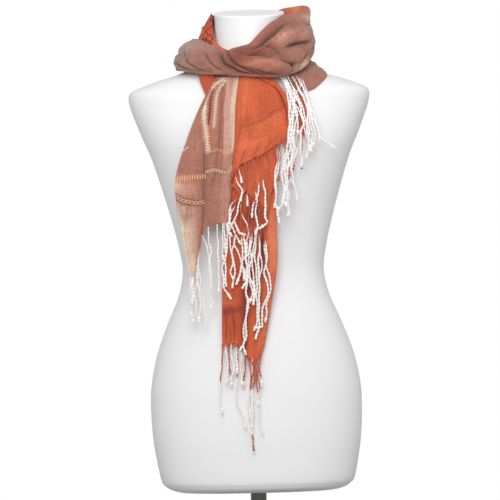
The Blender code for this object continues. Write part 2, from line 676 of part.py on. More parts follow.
def make_neck_cap():
    """A thin cap on the neck, with a small rounded rim, sloping forward with it."""
    rim = FORM_RINGS[-1]
    levels = [
        (0.0, CAP_ROUNDING),
        (CAP_ROUNDING, CAP_INSET),
        (CAP_THICKNESS - CAP_ROUNDING, CAP_INSET),
        (CAP_THICKNESS, CAP_ROUNDING),
    ]
    loops = []
    for rise, inset in levels:
        ring = rim._replace(
            height=rim.height + SEAM + rise,
            half_width=rim.half_width - inset,
            front=rim.front + inset,
            back=rim.back - inset,
        )
        loops.append(form_loop(ring))
    add_lofted("neck_cap", loops, "cap_grey")


def add_turned(name, profile, sides, finish_name):
    """A solid turned round the vertical axis from (radius, height) pairs, bottom to top."""
    turns = [2 * math.pi * k / sides for k in range(sides)]
    loops = [
        [Vector((radius * math.cos(turn), radius * math.sin(turn), height)) for turn in turns]
        for radius, height in profile
    ]
    add_lofted(name, loops, finish_name)


def make_stand():
    """A round base plate with a short hub, and the steel tube that carries the torso."""
    base = [
        (BASE_RADIUS - BASE_EDGE, 0.0),
        (BASE_RADIUS, BASE_EDGE),
        (BASE_RADIUS, BASE_THICKNESS - BASE_EDGE),
        (BASE_RADIUS - BASE_EDGE, BASE_THICKNESS),
        (HUB_RADIUS + HUB_FILLET, BASE_THICKNESS),
        (HUB_RADIUS, BASE_THICKNESS + HUB_FILLET),
        (HUB_RADIUS, HUB_HEIGHT - BASE_EDGE),
        (HUB_RADIUS - BASE_EDGE, HUB_HEIGHT),
    ]
    pole = [(POLE_RADIUS, HUB_HEIGHT + SEAM), (POLE_RADIUS, FORM_BOTTOM - SEAM)]
    add_turned("stand_base", base, BASE_SIDES, "stand_steel")
    add_turned("stand_pole", pole, POLE_SIDES, "stand_steel")


def main():
    clear_scene()
    make_stand()
    make_form()
    make_neck_cap()
    make_loop()
    make_collar()
    make_shoulder_fold()
    make_ends()


main()
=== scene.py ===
"""The looks of a fringed pashmina shawl worn by a limbless dress form.

Tables are in millimetres and meshes in metres. +X is the viewer's right, +Y points away from
the viewer, +Z is up, and the origin is the middle of the underside of the stand's base.
"""

import math
from collections import namedtuple

import bpy
import numpy as np
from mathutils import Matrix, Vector


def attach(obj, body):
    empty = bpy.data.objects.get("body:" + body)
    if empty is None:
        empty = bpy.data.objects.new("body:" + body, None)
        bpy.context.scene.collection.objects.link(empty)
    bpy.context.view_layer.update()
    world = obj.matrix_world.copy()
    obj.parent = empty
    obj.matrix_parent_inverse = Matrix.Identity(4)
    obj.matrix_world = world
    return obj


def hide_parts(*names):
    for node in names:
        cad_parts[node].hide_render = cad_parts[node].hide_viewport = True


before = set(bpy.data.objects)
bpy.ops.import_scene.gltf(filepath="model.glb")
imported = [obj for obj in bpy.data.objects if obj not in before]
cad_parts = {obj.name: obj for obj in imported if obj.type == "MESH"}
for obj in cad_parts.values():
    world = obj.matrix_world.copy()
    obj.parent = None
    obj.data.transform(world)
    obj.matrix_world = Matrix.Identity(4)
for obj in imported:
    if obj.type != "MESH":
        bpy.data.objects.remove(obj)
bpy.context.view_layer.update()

MM = 0.001
CLOTH = 0.9
# The y of the neck's axis, how far apart layers of hanging cloth lie, and the width over which
# the hanging cloth falls back
NECK_DEPTH_AXIS = -5.0
LAYER_PITCH = 2.75
FALL_WIDTH = 115.0

# The dress form and its stand
BASE_RADIUS = 125.0
BASE_THICKNESS = 12.0
BASE_INSET = 6.0
BASE_ROUNDING = 3.0
BASE_SIDES = 128
HUB_RADIUS = 24.0
HUB_HEIGHT = 30.0
POLE_RADIUS = 12.5
POLE_SIDES = 64
POLE_GAP = 0.3
FORM_BOTTOM = 120.0
FORM_SIDES = 168
RING_STEPS = 6
FORM_ROUNDNESS = 2.35
FORM_REACH = 260.0
FORM_PRECISION = 0.02
SHARP_ANGLE = 38
BUST_HEIGHT = 648.0
BUST_APART = 70.0
BUST_PROUD = 7.5
BUST_RADIUS = 46.0
# The neck leans aside by this much, from this height and over this rise
NECK_ASIDE = 3.2
NECK_FOOT = 800
NECK_RISE = 60
# The neck's cap: its gap, then how far each level stands above the neck's rim and in from it
CAP_GAP = 0.05
CAP_LEVELS = [
    (0.0, 0.12), (0.9, 0.0), (2.0, 0.05), (2.9, 0.4), (3.5, 1.1),
    (3.8, 2.2), (3.7, 4.0), (3.3, 9.0), (3.1, 20.0), (3.1, 38.0),
]

# One row for each ring of the torso, from the bottom edge to the neck's rim.
Ring = namedtuple("Ring", "height half_width front back tilt")
FORM_RINGS = [
    Ring(120.0, 96.0, -56.0, 66.0, 0.0),
    Ring(121.5, 120.0, -76.0, 84.0, 0.0),
    Ring(125.0, 134.0, -87.0, 94.0, 0.0),
    Ring(131.0, 145.0, -93.0, 100.0, 0.0),
    Ring(142.0, 152.5, -97.0, 104.0, 0.0),
    Ring(180.0, 160.0, -101.0, 110.0, 0.0),
    Ring(210.0, 164.0, -103.0, 115.0, 0.0),
    Ring(249.0, 166.0, -104.0, 119.0, 0.0),
    Ring(290.0, 164.5, -104.0, 118.0, 0.0),
    Ring(340.0, 154.0, -102.0, 107.0, 0.0),
    Ring(390.0, 135.5, -97.0, 91.0, 0.0),
    Ring(430.0, 118.5, -90.0, 80.0, 0.0),
    Ring(469.0, 111.0, -85.0, 74.0, 0.0),
    Ring(505.0, 115.8, -87.5, 75.5, 0.0),
    Ring(545.0, 125.0, -94.5, 84.0, 0.0),
    Ring(598.0, 140.0, -104.0, 95.5, 0.0),
    Ring(648.0, 156.0, -109.0, 103.0, 0.0),
    Ring(678.0, 168.5, -106.0, 104.0, 0.0),
    Ring(706.0, 179.5, -99.0, 101.0, 0.0),
    Ring(726.0, 186.5, -92.0, 96.0, 0.0),
    Ring(740.0, 189.5, -88.0, 92.0, 0.0),
    Ring(749.0, 188.5, -84.0, 88.0, 0.0),
    Ring(755.0, 182.0, -81.0, 84.0, 0.0),
    Ring(761.0, 167.0, -78.5, 80.5, 0.0),
    Ring(768.0, 148.0, -75.5, 76.5, 0.0),
    Ring(776.0, 120.0, -72.5, 72.0, 0.0),
    Ring(784.0, 99.0, -70.0, 67.5, 0.0),
    Ring(792.0, 81.5, -68.0, 63.0, 0.0),
    Ring(800.0, 68.5, -66.0, 59.0, 0.01),
    Ring(810.0, 59.5, -64.5, 55.5, 0.02),
    Ring(824.0, 56.0, -63.0, 53.0, 0.045),
    Ring(846.0, 55.4, -62.0, 51.5, 0.09),
    Ring(870.2, 55.4, -61.8, 50.8, 0.128),
]

# One row for each section of the loop round the neck. Angles run from the front (0) to the
# viewer's right (90); each pair is the radius from the neck's axis and the height.
Section = namedtuple("Section", "angle inner top upper valley roll bottom lip")
LOOP_SECTIONS = [
    Section(-120, (79, 832), (86, 836), (98, 829), (107, 815), (112, 800), (109, 786), (101, 786)),
    Section(-90, (80, 830), (86, 834), (102, 826), (112, 813), (117, 798), (113, 786), (103, 789)),
    Section(-68, (77, 828), (83, 832), (100, 825), (111, 811), (117, 796), (113, 783), (103, 786)),
    Section(-48, (72, 818.5), (78, 822.5), (94, 819), (105, 808), (112, 793), (108, 779), (98, 781)),
    Section(-30, (63, 808), (69, 812), (85, 812), (97, 804), (106, 790), (103, 776), (95, 777)),
    Section(-12, (63, 814), (69, 818), (84, 815), (95, 803), (107, 789), (103, 773), (93, 775)),
    Section(4, (63, 820), (70, 824), (85, 816), (94, 803), (109, 789), (104, 771), (93, 774)),
    Section(20, (62, 835), (69, 839), (86, 826), (96, 807), (112, 790), (107, 770), (94, 774)),
    Section(36, (64, 852), (71, 856), (93, 838), (102, 813), (116, 792), (110, 771), (96, 776)),
    Section(52, (67, 863), (75, 865.5), (99, 847), (109, 820), (117, 798), (109, 783), (98, 786)),
    Section(68, (75, 864), (85, 868), (102, 852), (110, 829), (111, 811), (105, 799), (96, 801)),
    Section(86, (82, 862), (95.5, 869.5), (100.5, 857), (103.5, 839), (106, 823), (103, 809), (94, 806)),
    Section(104, (78, 864), (98.5, 882), (101.5, 863), (105.5, 841), (107.5, 823), (103, 806),
    (94, 803)),
    Section(122, (74, 864), (94, 884), (104, 864), (108, 839), (109, 814), (105, 796), (96, 790)),
    Section(142, (68, 866), (84, 880), (98, 862), (105, 836), (109, 811), (106, 792), (98, 788)),
    Section(162, (66, 858), (77, 866), (92, 852), (101, 828), (107, 799), (105, 774), (98, 768)),
    Section(182, (66, 852), (75, 861), (91, 844), (101, 821), (107, 793), (105, 768), (98, 763.5)),
    Section(204, (68, 848), (76, 855), (92, 839), (102, 817), (107, 792), (105, 770), (98.6, 766)),
    Section(222, (74, 845), (81, 849), (95, 836), (105, 815), (109, 795), (105, 776), (97.5, 774.4)),
    Section(240, (79, 832), (86, 836), (98, 829), (107, 815), (112, 800), (109, 786), (101, 786)),
]
# The stretch against the neck at the left: radius and height from its top edge to its foot.
Collar = namedtuple("Collar", "angle top high low foot")
COLLAR_SECTIONS = [
    Collar(-32, (61.5, 815), (63, 811), (66, 807), (69, 801)),
    Collar(-46, (60.2, 821), (62.5, 815), (67, 808), (71, 802)),
    Collar(-58, (58.6, 830.5), (62.5, 821), (70, 811), (73, 801)),
    Collar(-72, (56, 851), (63, 836), (72.5, 820), (77, 802)),
    Collar(-88, (55.5, 873), (65, 857.5), (75, 836), (80, 806)),
    Collar(-108, (57.5, 873), (66.5, 856), (78, 835), (81, 808)),
    Collar(-130, (60.5, 867), (67, 850), (75, 833), (79, 808)),
    Collar(-154, (60.4, 857), (64, 845), (69, 838), (74, 812)),
]

# The lower layer on the right shoulder and the back: its upper edge by radius and height, then
# two lines by the height of the form beneath them and how far they lie off it.
Shoulder = namedtuple("Shoulder", "angle radius top middle middle_lift low low_lift")
SHOULDER_SECTIONS = [
    Shoulder(42, 90.5, 783, 765, 4.0, 745, 4.6),
    Shoulder(54, 91.0, 787, 771, 6.0, 748, 3.6),
    Shoulder(68, 90.5, 796, 782, 9.0, 766, 3.2),
    Shoulder(84, 89.0, 803, 785, 12.0, 775.4, 3.0),
    Shoulder(98, 88.0, 803, 785.5, 12.0, 776, 3.0),
    Shoulder(114, 88.5, 799, 782, 9.0, 768, 3.0),
    Shoulder(134, 92.5, 793, 771, 5.0, 750, 3.0),
    Shoulder(156, 92.6, 781, 760, 3.4, 743, 3.0),
    Shoulder(178, 92.8, 772, 755, 3.4, 739, 3.0),
    Shoulder(196, 93.0, 771, 758, 3.4, 746, 3.0),
    Shoulder(212, 93.2, 772, 764, 3.4, 758, 3.0),
]

# How far in front of the neck's axis plane the hanging cloth lies at each height, and how fast
# it falls back to either side.
Hang = namedtuple("Hang", "height depth fall")
HANG = [
    Hang(800, 84.0, 62.0),
    Hang(772, 90.0, 60.0),
    Hang(755, 94.0, 42.0),
    Hang(740, 98.5, 29.0),
    Hang(722, 104.0, 16.0),
    Hang(700, 110.5, 9.0),
    Hang(678, 115.5, 9.0),
    Hang(655, 118.5, 11.0),
    Hang(630, 119.5, 13.0),
    Hang(597, 119.5, 15.0),
    Hang(540, 118.5, 16.0),
    Hang(484, 116.5, 16.0),
    Hang(400, 113.0, 16.0),
    Hang(320, 111.0, 16.0),
    Hang(180, 110.0, 16.0),
]

# One row for each fold of a hanging end, from the viewer's left: where it leaves the band,
# four places on the way and its hem, each as x, height and how far it stands forward.
Fold = namedtuple("Fold", "name top chest bust waist low hem")
FRONT_FOLDS = [Fold(*row) for row in [
    ("left edge", (-51, 772, 0), (-76, 727, 2), (-99, 673, 2), (-118, 606, -1), (-109, 524, -3),
     (-99, 461, -5)),
    ("left face", (-48, 772, 2), (-71, 727, 4), (-91, 668, 4), (-105, 602, 3), (-101, 530, 1),
     (-92, 461, -3)),
    ("shadow", (-44, 772, 0), (-62, 725, 0), (-71, 664, -1), (-80, 600, -1), (-84, 544, -1),
     (-86, 485, -3)),
    ("stripe", (-39, 772, 2), (-46, 723, 5), (-53, 662, 6), (-63, 604, 6), (-71, 562, 5), (-76, 531, 3)),
    ("cream left", (-34, 772, 1), (-35, 722, 3), (-40, 662, 4), (-46, 606, 5), (-50, 573, 5),
     (-53, 542, 4)),
    ("cream right", (-19, 772, 0), (-24, 722, 2), (-27, 668, 2), (-32, 618, 2), (-35, 582, 2),
     (-38, 548, 2)),
    ("border", (-13, 772, 0), (-18, 725, 1), (-21, 676, 0), (-26, 646, 0), (-29, 622, 0), (-30, 600, 0)),
    ("orange", (-5, 772, 1), (-9, 735, 3), (-10, 704, 4), (-13, 676, 4), (-17, 651, 3), (-21, 628, 2)),
    ("middle", (8, 772, 0), (10, 739, 1), (11, 711, 1), (9, 686, 1), (4, 664, 1), (-2, 640, 1)),
    ("face", (20, 772, 1), (28, 744, 4), (32, 716, 5), (32, 694, 4), (28, 673, 3), (21, 650, 2)),
    ("crease", (28, 772, 0), (44, 746, 0), (49, 720, -1), (50, 700, -1), (47, 682, 0), (41, 664, 0)),
    ("roll", (34, 771, 0), (54, 747, 2), (61, 727, 2), (62, 708, 1), (60, 692, 0), (55, 675, 0)),
    ("turned", (33, 770, -4), (53, 744, -5), (61, 725, -5), (62, 707, -6), (59, 691, -6), (54, 675, -5)),
]]
MIDDLE_FOLDS = [Fold(*row) for row in [
    ("left edge", (-28, 664, 0), (-31, 648, 0), (-33, 630, 0), (-31, 614, 0), (-26, 598, 0),
     (-18, 583, 0)),
    ("left point", (-18, 668, 0), (-19, 654, 0), (-19, 640, 0), (-17, 622, 0), (-13, 606, 0),
     (-9, 590, 0)),
    ("first face", (-6, 672, 0), (-6, 656, 0), (-5, 638, 0), (-5, 620, 1), (-4, 603, 1), (-3, 585, 1)),
    ("second face", (6, 676, 0), (6, 658, 0), (6, 638, 0), (5, 617, 0), (4, 598, 0), (3, 579, 0)),
    ("third face", (18, 680, 0), (17, 658, 0), (16, 634, 0), (14, 611, 1), (12, 593, 1), (9, 576, 1)),
    ("low point", (31, 684, 0), (29, 656, 0), (27, 626, 0), (24, 603, 0), (19, 586, 0), (14, 572, 0)),
    ("right edge", (43, 688, 0), (41, 657, 0), (39, 630, 0), (36, 602, 0), (28, 583, 0), (19, 567, 0)),
]]
LONG_FOLDS = [Fold(*row) for row in [
    ("left edge", (-24, 724, 0), (-28, 640, 0), (-36, 566, 0), (-47, 480, 0), (-50, 410, 0),
     (-51, 353, 0)),
    ("left lobe", (-14, 724, 0), (-18, 636, 0), (-24, 560, 0), (-33, 478, 2), (-37, 412, 4),
     (-38, 356, 4)),
    ("lobe side", (-4, 724, 0), (-6, 632, 0), (-10, 556, 0), (-17, 480, 1), (-23, 412, 2),
     (-24, 352, 2)),
    ("shadow", (6, 724, 0), (6, 630, 0), (3, 560, -1), (-3, 484, -2), (-12, 412, -4), (-17, 344, -4)),
    ("inner side", (15, 724, 0), (17, 632, 0), (16, 556, 0), (10, 480, 2), (-3, 406, 3), (-11, 334, 2)),
    ("right lobe", (26, 724, 0), (29, 636, 0), (28, 556, 0), (26, 478, 2), (14, 404, 4), (2, 331, 4)),
    ("right edge", (41, 724, 0), (40, 640, 0), (38, 566, 0), (38, 482, 0), (27, 416, 0), (14, 348, 0)),
]]
SIDE_FOLDS = [Fold(*row) for row in [
    ("left edge", (66, 744.6, 0.6), (69, 733, 1), (72, 722, 1), (73, 711, 1), (74, 700, 1),
     (73, 690, 1)),
    ("face", (74, 744.6, 1.6), (77, 732, 2), (80, 719, 3), (81, 707, 3), (81, 694, 3), (80, 682, 2)),
    ("right edge", (82, 744.4, 2.6), (86, 731, 3), (88, 717, 3), (89, 703, 3), (87, 688, 2),
     (84, 674, 2)),
]]
TUCK_FOLDS = [Fold(*row) for row in [
    ("left edge", (-77, 776, 11), (-77, 772, 11), (-76, 767, 9), (-74, 761, 7), (-71, 753, 5),
     (-67, 743, 3)),
    ("face", (-66, 776, 11), (-66, 771, 11), (-66, 766, 9), (-65, 758, 7), (-65, 750, 5), (-64, 740, 4)),
    ("right edge", (-53, 776, 7), (-53, 770, 6), (-54, 765, 5), (-56, 758, 4), (-59, 750, 3),
     (-61, 740, 3)),
]]

# One row for each crease in the band round the neck: its depth, how far it spreads above and
# below its line, its route from left to right as (angle, place) pairs, where place runs from 0
# at the band's inner edge to 1 at its hidden lip, and how deep a narrow groove follows the line.
Crease = namedtuple("Crease", "depth above below route groove", defaults=[0.0])
BAND_CREASES = [
    Crease(3.4, 1.6, 6.0, [(-72, 0.40), (-67, 0.47), (-60, 0.59), (-53, 0.68), (-44, 0.76),
                           (-35, 0.79)], 0.45),
    Crease(3.2, 1.6, 5.0, [(-45, 0.42), (-41, 0.48), (-36, 0.58), (-30, 0.69), (-22, 0.77)], 0.45),
    Crease(10.0, 1.6, 7.0, [(-27, 0.02), (-26, 0.20), (-28, 0.37), (-23, 0.56), (-14, 0.70),
                            (-5, 0.78), (7, 0.82)], 1.0),
    Crease(5.0, 1.6, 4.0, [(-21, 0.22), (-21, 0.39), (-13, 0.59), (-3, 0.73), (9, 0.80),
                           (16, 0.81)], 0.9),
    Crease(3.0, 2.0, 4.0, [(-84, 0.64), (-70, 0.70), (-55, 0.76), (-42, 0.80)], 0.3),
    Crease(4.5, 6.0, 4.0, [(-16, 0.38), (-2, 0.45), (12, 0.50), (24, 0.58)], 0.15),
    Crease(4.0, 3.0, 4.0, [(-10, 0.66), (4, 0.74), (20, 0.80), (28, 0.82)], 0.5),
    Crease(10.0, 3.0, 6.5, [(3, 0.37), (8, 0.33), (14, 0.29), (21, 0.27), (29, 0.26), (37, 0.25),
                            (46, 0.26)], 1.0),
    Crease(5.5, 5.0, 2.5, [(9, 0.33), (22, 0.42), (29, 0.53), (34, 0.65)], 0.4),
    Crease(8.0, 1.5, 4.5, [(36, 0.475), (44, 0.47), (53, 0.48), (62, 0.51)], 1.0),
    Crease(10.0, 5.0, 4.0, [(26, 0.58), (33, 0.65), (39, 0.70), (41, 0.77), (37, 0.83),
                            (30, 0.87)], 1.3),
    Crease(5.0, 4.0, 6.0, [(36, 0.70), (41, 0.76), (40, 0.83)], 0.8),
    Crease(5.0, 4.0, 3.0, [(56, 0.58), (49, 0.68), (45, 0.80)], 0.5),
    Crease(4.0, 3.0, 7.0, [(60, 0.30), (72, 0.34), (88, 0.36), (104, 0.40)], 0.3),
    Crease(4.0, 2.0, 6.0, [(58, 0.60), (74, 0.63), (92, 0.66)], 0.4),
    Crease(3.5, 2.5, 7.0, [(-112, 0.30), (-98, 0.44), (-82, 0.50), (-70, 0.58)], 0.4),
    Crease(4.5, 2.0, 8.0, [(-122, 0.50), (-104, 0.60), (-86, 0.72), (-66, 0.84)], 0.5),
    Crease(6.0, 2.0, 8.0, [(92, 0.66), (116, 0.69), (146, 0.62), (188, 0.68)], 0.7),
    Crease(5.0, 2.0, 7.0, [(104, 0.52), (132, 0.50), (158, 0.44)], 0.5),
    Crease(7.0, 2.0, 8.0, [(88, 0.28), (124, 0.34), (164, 0.33), (206, 0.42), (236, 0.50)], 0.9),
    Crease(5.0, 2.0, 6.0, [(150, 0.80), (184, 0.82), (216, 0.76), (240, 0.70)], 0.5),
    Crease(4.5, 2.0, 6.0, [(176, 0.52), (204, 0.58), (230, 0.66)], 0.6),
    Crease(3.5, 4.0, 4.0, [(196, 0.24), (214, 0.34), (226, 0.46)], 0.3),
]
# Ridges stand out of the band; they are written as creases of negative depth.
BAND_RIDGES = [
    Crease(-3.0, 5.0, 5.0, [(-70, 0.56), (-58, 0.70), (-44, 0.82)]),
    Crease(-3.0, 5.0, 5.0, [(-44, 0.50), (-37, 0.64), (-28, 0.78)]),
    Crease(-5.0, 6.0, 6.0, [(-6, 0.54), (8, 0.61), (20, 0.67), (31, 0.74)]),
    Crease(-4.5, 4.5, 4.5, [(2, 0.24), (12, 0.20), (24, 0.17), (38, 0.16)]),
    Crease(-3.0, 7.0, 7.0, [(34, 0.38), (48, 0.36), (64, 0.40)]),
    Crease(-2.5, 6.0, 6.0, [(44, 0.57), (58, 0.62), (72, 0.70)]),
    Crease(-3.5, 7.0, 7.0, [(118, 0.56), (156, 0.52), (196, 0.60)]),
]
# The powers by which a crease thins towards its ends, though not past these shares of its route,
# and fades to either side
CREASE_TAPER = 0.6
CREASE_ENDS = (0.03, 0.97)
CREASE_FADE = 1.35
GROOVE_WIDTH = 1.3
GROOVE_DEPTH = 3.5
# How much painted shade grooves and hollows put on the cloth's colour, and up to which groove and depth
GROOVE_SHADE = 0.55
GROOVE_RANGE = (0, 1.3)
HOLLOW_SHADE = 0.032
HOLLOW_RANGE = (-5, 9)
# Soft unevenness, as a sum of this many waves. One row for each kind: its depth, how long its
# waves are along and across the cloth, the seed of its random draws and how far it leans.
WAVE_COUNT = 16
Waves = namedtuple("Waves", "depth along down seed lean", defaults=[0.0])
BAND_WAVES = [Waves(1.0, 150, 22, 3, 0.25), Waves(0.45, 70, 9, 4, 0.2)]
COLLAR_WAVES = [Waves(0.5, 60, 14, 8)]
SHOULDER_WAVES = [Waves(0.7, 90, 18, 12)]
# Waves die down to this share at the top of a hanging end, over this share of its length.
TOP_SHARE = 0.15
TOP_REACH = 0.1
# The band's waves die down at this angle, where its two ends meet.
SEAM_ANGLE = -120
# The band's cells round the neck and across it, and where round the neck they lie closer: shares
# of the cells against section numbers.
BAND_CELLS = (440, 104)
BAND_DENSE = ((0.08, 0.76), (2.6, 13.6))
# Cloth round the neck: its length for each degree and its width, then its whole size and, for
# the two smaller pieces, how many points it has along and across
BAND_LENGTHS = (1.75, 125.0)
BAND_SIZE = (660, 125)
COLLAR_LENGTHS = (1.1, 80)
COLLAR_SIZE = (135, 80)
COLLAR_POINTS = (96, 60)
SHOULDER_LENGTHS = (1.9, 50)
SHOULDER_SIZE = (290, 55)
SHOULDER_POINTS = (200, 44)
# Relief dies down to this share at the band's edges, over these shares of its width.
EDGE_RELIEF = 0.25
EDGE_SHARES = (0.06, 0.10)
# The lining shows on the band up to this place and past this angle, each with its softness.
LINING_PLACE = (0.165, 0.02)
LINING_ANGLE = (97, 6)
# The collar is paler past this angle, painted light against the band's shadow on it, and its figure starts
# this far from its front, in metres.
PAINTED_LIGHT_ANGLE = (-64, 8)
PAINTED_LIGHT_STRENGTH = 0.8
FIGURE_START = 0.037
# The lower layer's relief goes no deeper than this.
SHOULDER_DEEPEST = -1.5
# Creases get more painted shade on the hanging ends than on the band, and the front end is darker inside.
END_SHADE = 1.6
INSIDE_SHADE = 0.9

# Creases of the hanging ends, with their routes as (fold, way down) pairs: fold counts the rows
# of the table of folds and the way down runs from 0 under the band to 1 at the hem.
FRONT_CREASES = [
    Crease(3.4, 7.0, 4.0, [(1.8, 0.20), (2.0, 0.42), (2.2, 0.55), (2.4, 0.72), (2.7, 0.90),
                           (2.8, 1.0)], 0.5),
    Crease(2.6, 3.0, 5.0, [(0.7, 0.00), (0.9, 0.10), (1.3, 0.24)], 0.2),
    Crease(2.4, 2.5, 2.5, [(1.6, 0.08), (1.9, 0.16), (2.1, 0.22), (2.1, 0.30)], 0.6),
    Crease(2.0, 4.0, 4.0, [(3.1, 0.00), (3.2, 0.22), (3.3, 0.48), (3.0, 0.74)], 0.15),
    Crease(2.2, 3.0, 5.0, [(5.8, 0.00), (5.6, 0.20), (5.7, 0.50), (5.9, 0.80)], 0.35),
    Crease(1.8, 4.0, 6.0, [(6.9, 0.00), (6.7, 0.30), (6.6, 0.70)]),
    Crease(2.0, 4.0, 4.0, [(7.3, 0.28), (7.4, 0.42), (7.5, 0.56), (7.8, 0.72)], 0.25),
    Crease(1.6, 5.0, 5.0, [(8.6, 0.10), (8.7, 0.46), (8.3, 0.90)]),
    Crease(3.0, 2.0, 4.0, [(8.3, 0.00), (9.0, 0.05), (10.0, 0.14), (10.3, 0.27), (10.5, 0.46),
                           (10.6, 0.76)], 1.0),
    Crease(2.4, 6.0, 4.0, [(10.5, 0.40), (9.4, 0.42), (8.6, 0.48), (7.6, 0.50), (6.4, 0.45)], 0.3),
    Crease(1.6, 4.0, 7.0, [(0.2, 0.80), (0.9, 0.74), (1.6, 0.66)], 0.2),
    Crease(1.4, 6.0, 6.0, [(3.9, 0.44), (4.4, 0.70), (4.2, 0.98)]),
    Crease(1.2, 6.0, 6.0, [(0.4, 0.30), (0.8, 0.50), (0.8, 0.70)]),
    Crease(1.4, 3.0, 3.0, [(6.3, 0.98), (6.5, 0.86), (6.4, 0.74)], 0.5),
    Crease(1.4, 3.0, 3.0, [(7.3, 1.0), (7.5, 0.90), (7.4, 0.82)], 0.5),
    Crease(1.4, 3.0, 3.0, [(8.2, 1.0), (8.3, 0.92), (8.6, 0.84)], 0.4),
    Crease(1.4, 3.0, 3.0, [(9.2, 1.0), (9.2, 0.93), (9.5, 0.86)], 0.4),
]
MIDDLE_CREASES = [
    Crease(1.6, 3.0, 3.0, [(1.4, 0.0), (1.3, 0.5), (1.5, 1.0)], 0.3),
    Crease(1.6, 3.0, 3.0, [(3.1, 0.0), (3.2, 0.6), (3.0, 1.0)]),
    Crease(1.4, 3.0, 3.0, [(4.7, 0.1), (4.6, 0.6), (4.8, 1.0)]),
]
LONG_CREASES = [
    Crease(5.0, 5.0, 4.0, [(3.0, 0.40), (3.0, 0.60), (2.9, 0.80), (3.1, 1.00)], 0.6),
    Crease(2.4, 4.0, 4.0, [(1.6, 0.45), (1.4, 0.70), (1.6, 0.98)]),
    Crease(2.0, 4.0, 4.0, [(4.4, 0.50), (4.6, 0.75), (4.4, 0.98)], 0.2),
    Crease(1.8, 3.0, 3.0, [(0.6, 0.40), (0.7, 0.80)]),
    Crease(3.0, 5.0, 1.6, [(5.6, 0.29), (4.9, 0.38), (4.3, 0.46), (4.4, 0.56), (4.9, 0.65)], 0.8),
    Crease(1.4, 2.5, 5.0, [(0.2, 0.80), (0.7, 0.79), (1.5, 0.82), (2.3, 0.81)], 0.15),
    Crease(1.2, 1.6, 1.6, [(0.45, 0.84), (0.5, 0.92), (0.45, 1.0)], 0.6),
    Crease(1.4, 1.6, 1.6, [(0.85, 0.88), (0.95, 0.94), (1.0, 1.0)], 0.45),
    Crease(1.2, 1.6, 1.6, [(1.25, 0.82), (1.45, 0.90), (1.4, 1.0)], 0.6),
    Crease(1.0, 1.6, 1.6, [(1.85, 0.90), (1.9, 0.95), (1.95, 1.0)], 0.4),
    Crease(1.2, 1.6, 1.6, [(2.35, 0.87), (2.4, 0.93), (2.4, 1.0)], 0.5),
]
SIDE_CREASES = [Crease(1.5, 3.0, 3.0, [(0.8, 0.0), (0.9, 0.6), (1.0, 1.0)])]
TUCK_CREASES = [Crease(2.0, 1.5, 3.0, [(0.9, 0.0), (0.8, 0.5), (1.1, 1.0)])]
SHOULDER_CREASES = [
    Crease(2.2, 3.0, 6.0, [(48, 0.20), (80, 0.42), (120, 0.52)]),
    Crease(2.0, 3.0, 6.0, [(60, 0.70), (96, 0.74), (140, 0.60)]),
    Crease(2.0, 3.0, 5.0, [(120, 0.30), (160, 0.40), (200, 0.30)]),
]
COLLAR_CREASES = [
    Crease(2.4, 2.0, 5.0, [(-150, 0.30), (-120, 0.36), (-84, 0.46), (-60, 0.40)]),
    Crease(1.8, 2.0, 5.0, [(-140, 0.66), (-108, 0.70), (-80, 0.76)]),
]

# Dyes of the cloth and the yarns as screen colours
DYES = {
    "mauve": (168, 114, 97),
    "grey mauve": (162, 127, 112),
    "light grey mauve": (184, 150, 136),
    "pink mauve": (200, 144, 127),
    "deep mauve": (154, 101, 86),
    "rust": (136, 72, 54),
    "light rust": (184, 116, 93),
    "cream": (222, 190, 168),
    "pink cream": (214, 164, 146),
    "sand": (240, 213, 189),
    "orange": (213, 101, 60),
    "lining orange": (198, 112, 75),
    "bright orange": (228, 118, 80),
    "deep orange": (186, 78, 54),
    "dark red": (140, 52, 42),
    "peach": (232, 160, 118),
    "peach painted light": (236, 134, 94),
    "panel mauve": (181, 121, 102),
    "brown": (156, 94, 66),
    "painted shade maroon": (98, 44, 42),
    "pale cream": (242, 216, 194),
    "blush": (246, 195, 172),
    "light peach": (242, 184, 138),
    "ivory": (236, 224, 206),
    "white": (252, 248, 245),
    "root orange": (196, 92, 62),
}

# One row for each tone of the cloth: its dye, its middle, how far it reaches in both directions
# and its strength. Places are angle and place on the band, and fold and way down on an end.
Tone = namedtuple("Tone", "dye along down reach_along reach_down strength")
BAND_TONES = [
    Tone("grey mauve", -84, 0.5, 40, 1.2, 1.0),
    # Painted highlight: the lighter grey mauve on the upper face of the left bulge.
    Tone("light grey mauve", -66, 0.36, 22, 0.10, 0.7),
    Tone("rust", -12, 0.56, 15, 0.20, 0.95),
    Tone("rust", 6, 0.48, 17, 0.13, 0.85),
    Tone("rust", -2, 0.30, 14, 0.10, 0.8),
    Tone("rust", 0, 0.51, 12, 0.12, 0.45),
    Tone("deep mauve", -42, 0.52, 11, 0.30, 0.5),
    Tone("rust", 20, 0.51, 12, 0.07, 0.35),
    Tone("light rust", 12, 0.665, 18, 0.05, 1.0),
    Tone("rust", 18, 0.80, 22, 0.05, 0.7),
    Tone("deep mauve", 14, 0.20, 20, 0.09, 0.9),
    Tone("deep mauve", 50, 0.29, 14, 0.09, 1.0),
    Tone("deep mauve", 40, 0.20, 14, 0.08, 0.7),
    Tone("pink mauve", 36, 0.37, 9, 0.05, 0.9),
    Tone("pink mauve", 56, 0.41, 9, 0.05, 0.5),
    Tone("deep mauve", 54, 0.56, 14, 0.10, 0.7),
    Tone("sand", 80, 0.30, 10, 0.12, 0.5),
    Tone("sand", 50, 0.75, 9, 0.06, 0.5),
    # Painted shade: these two tones darken the hooked end of the roll and the deep crease near the front.
    Tone("painted shade maroon", 39, 0.735, 2.4, 0.035, 0.55),
    Tone("painted shade maroon", -25, 0.31, 2.2, 0.04, 0.5),
    Tone("sand", 74, 0.80, 14, 0.06, 0.8),
    Tone("deep mauve", 74, 0.70, 16, 0.08, 0.5),
    Tone("cream", 150, 0.56, 60, 0.035, 0.7),
    Tone("light rust", 176, 0.40, 50, 0.09, 0.7),
]
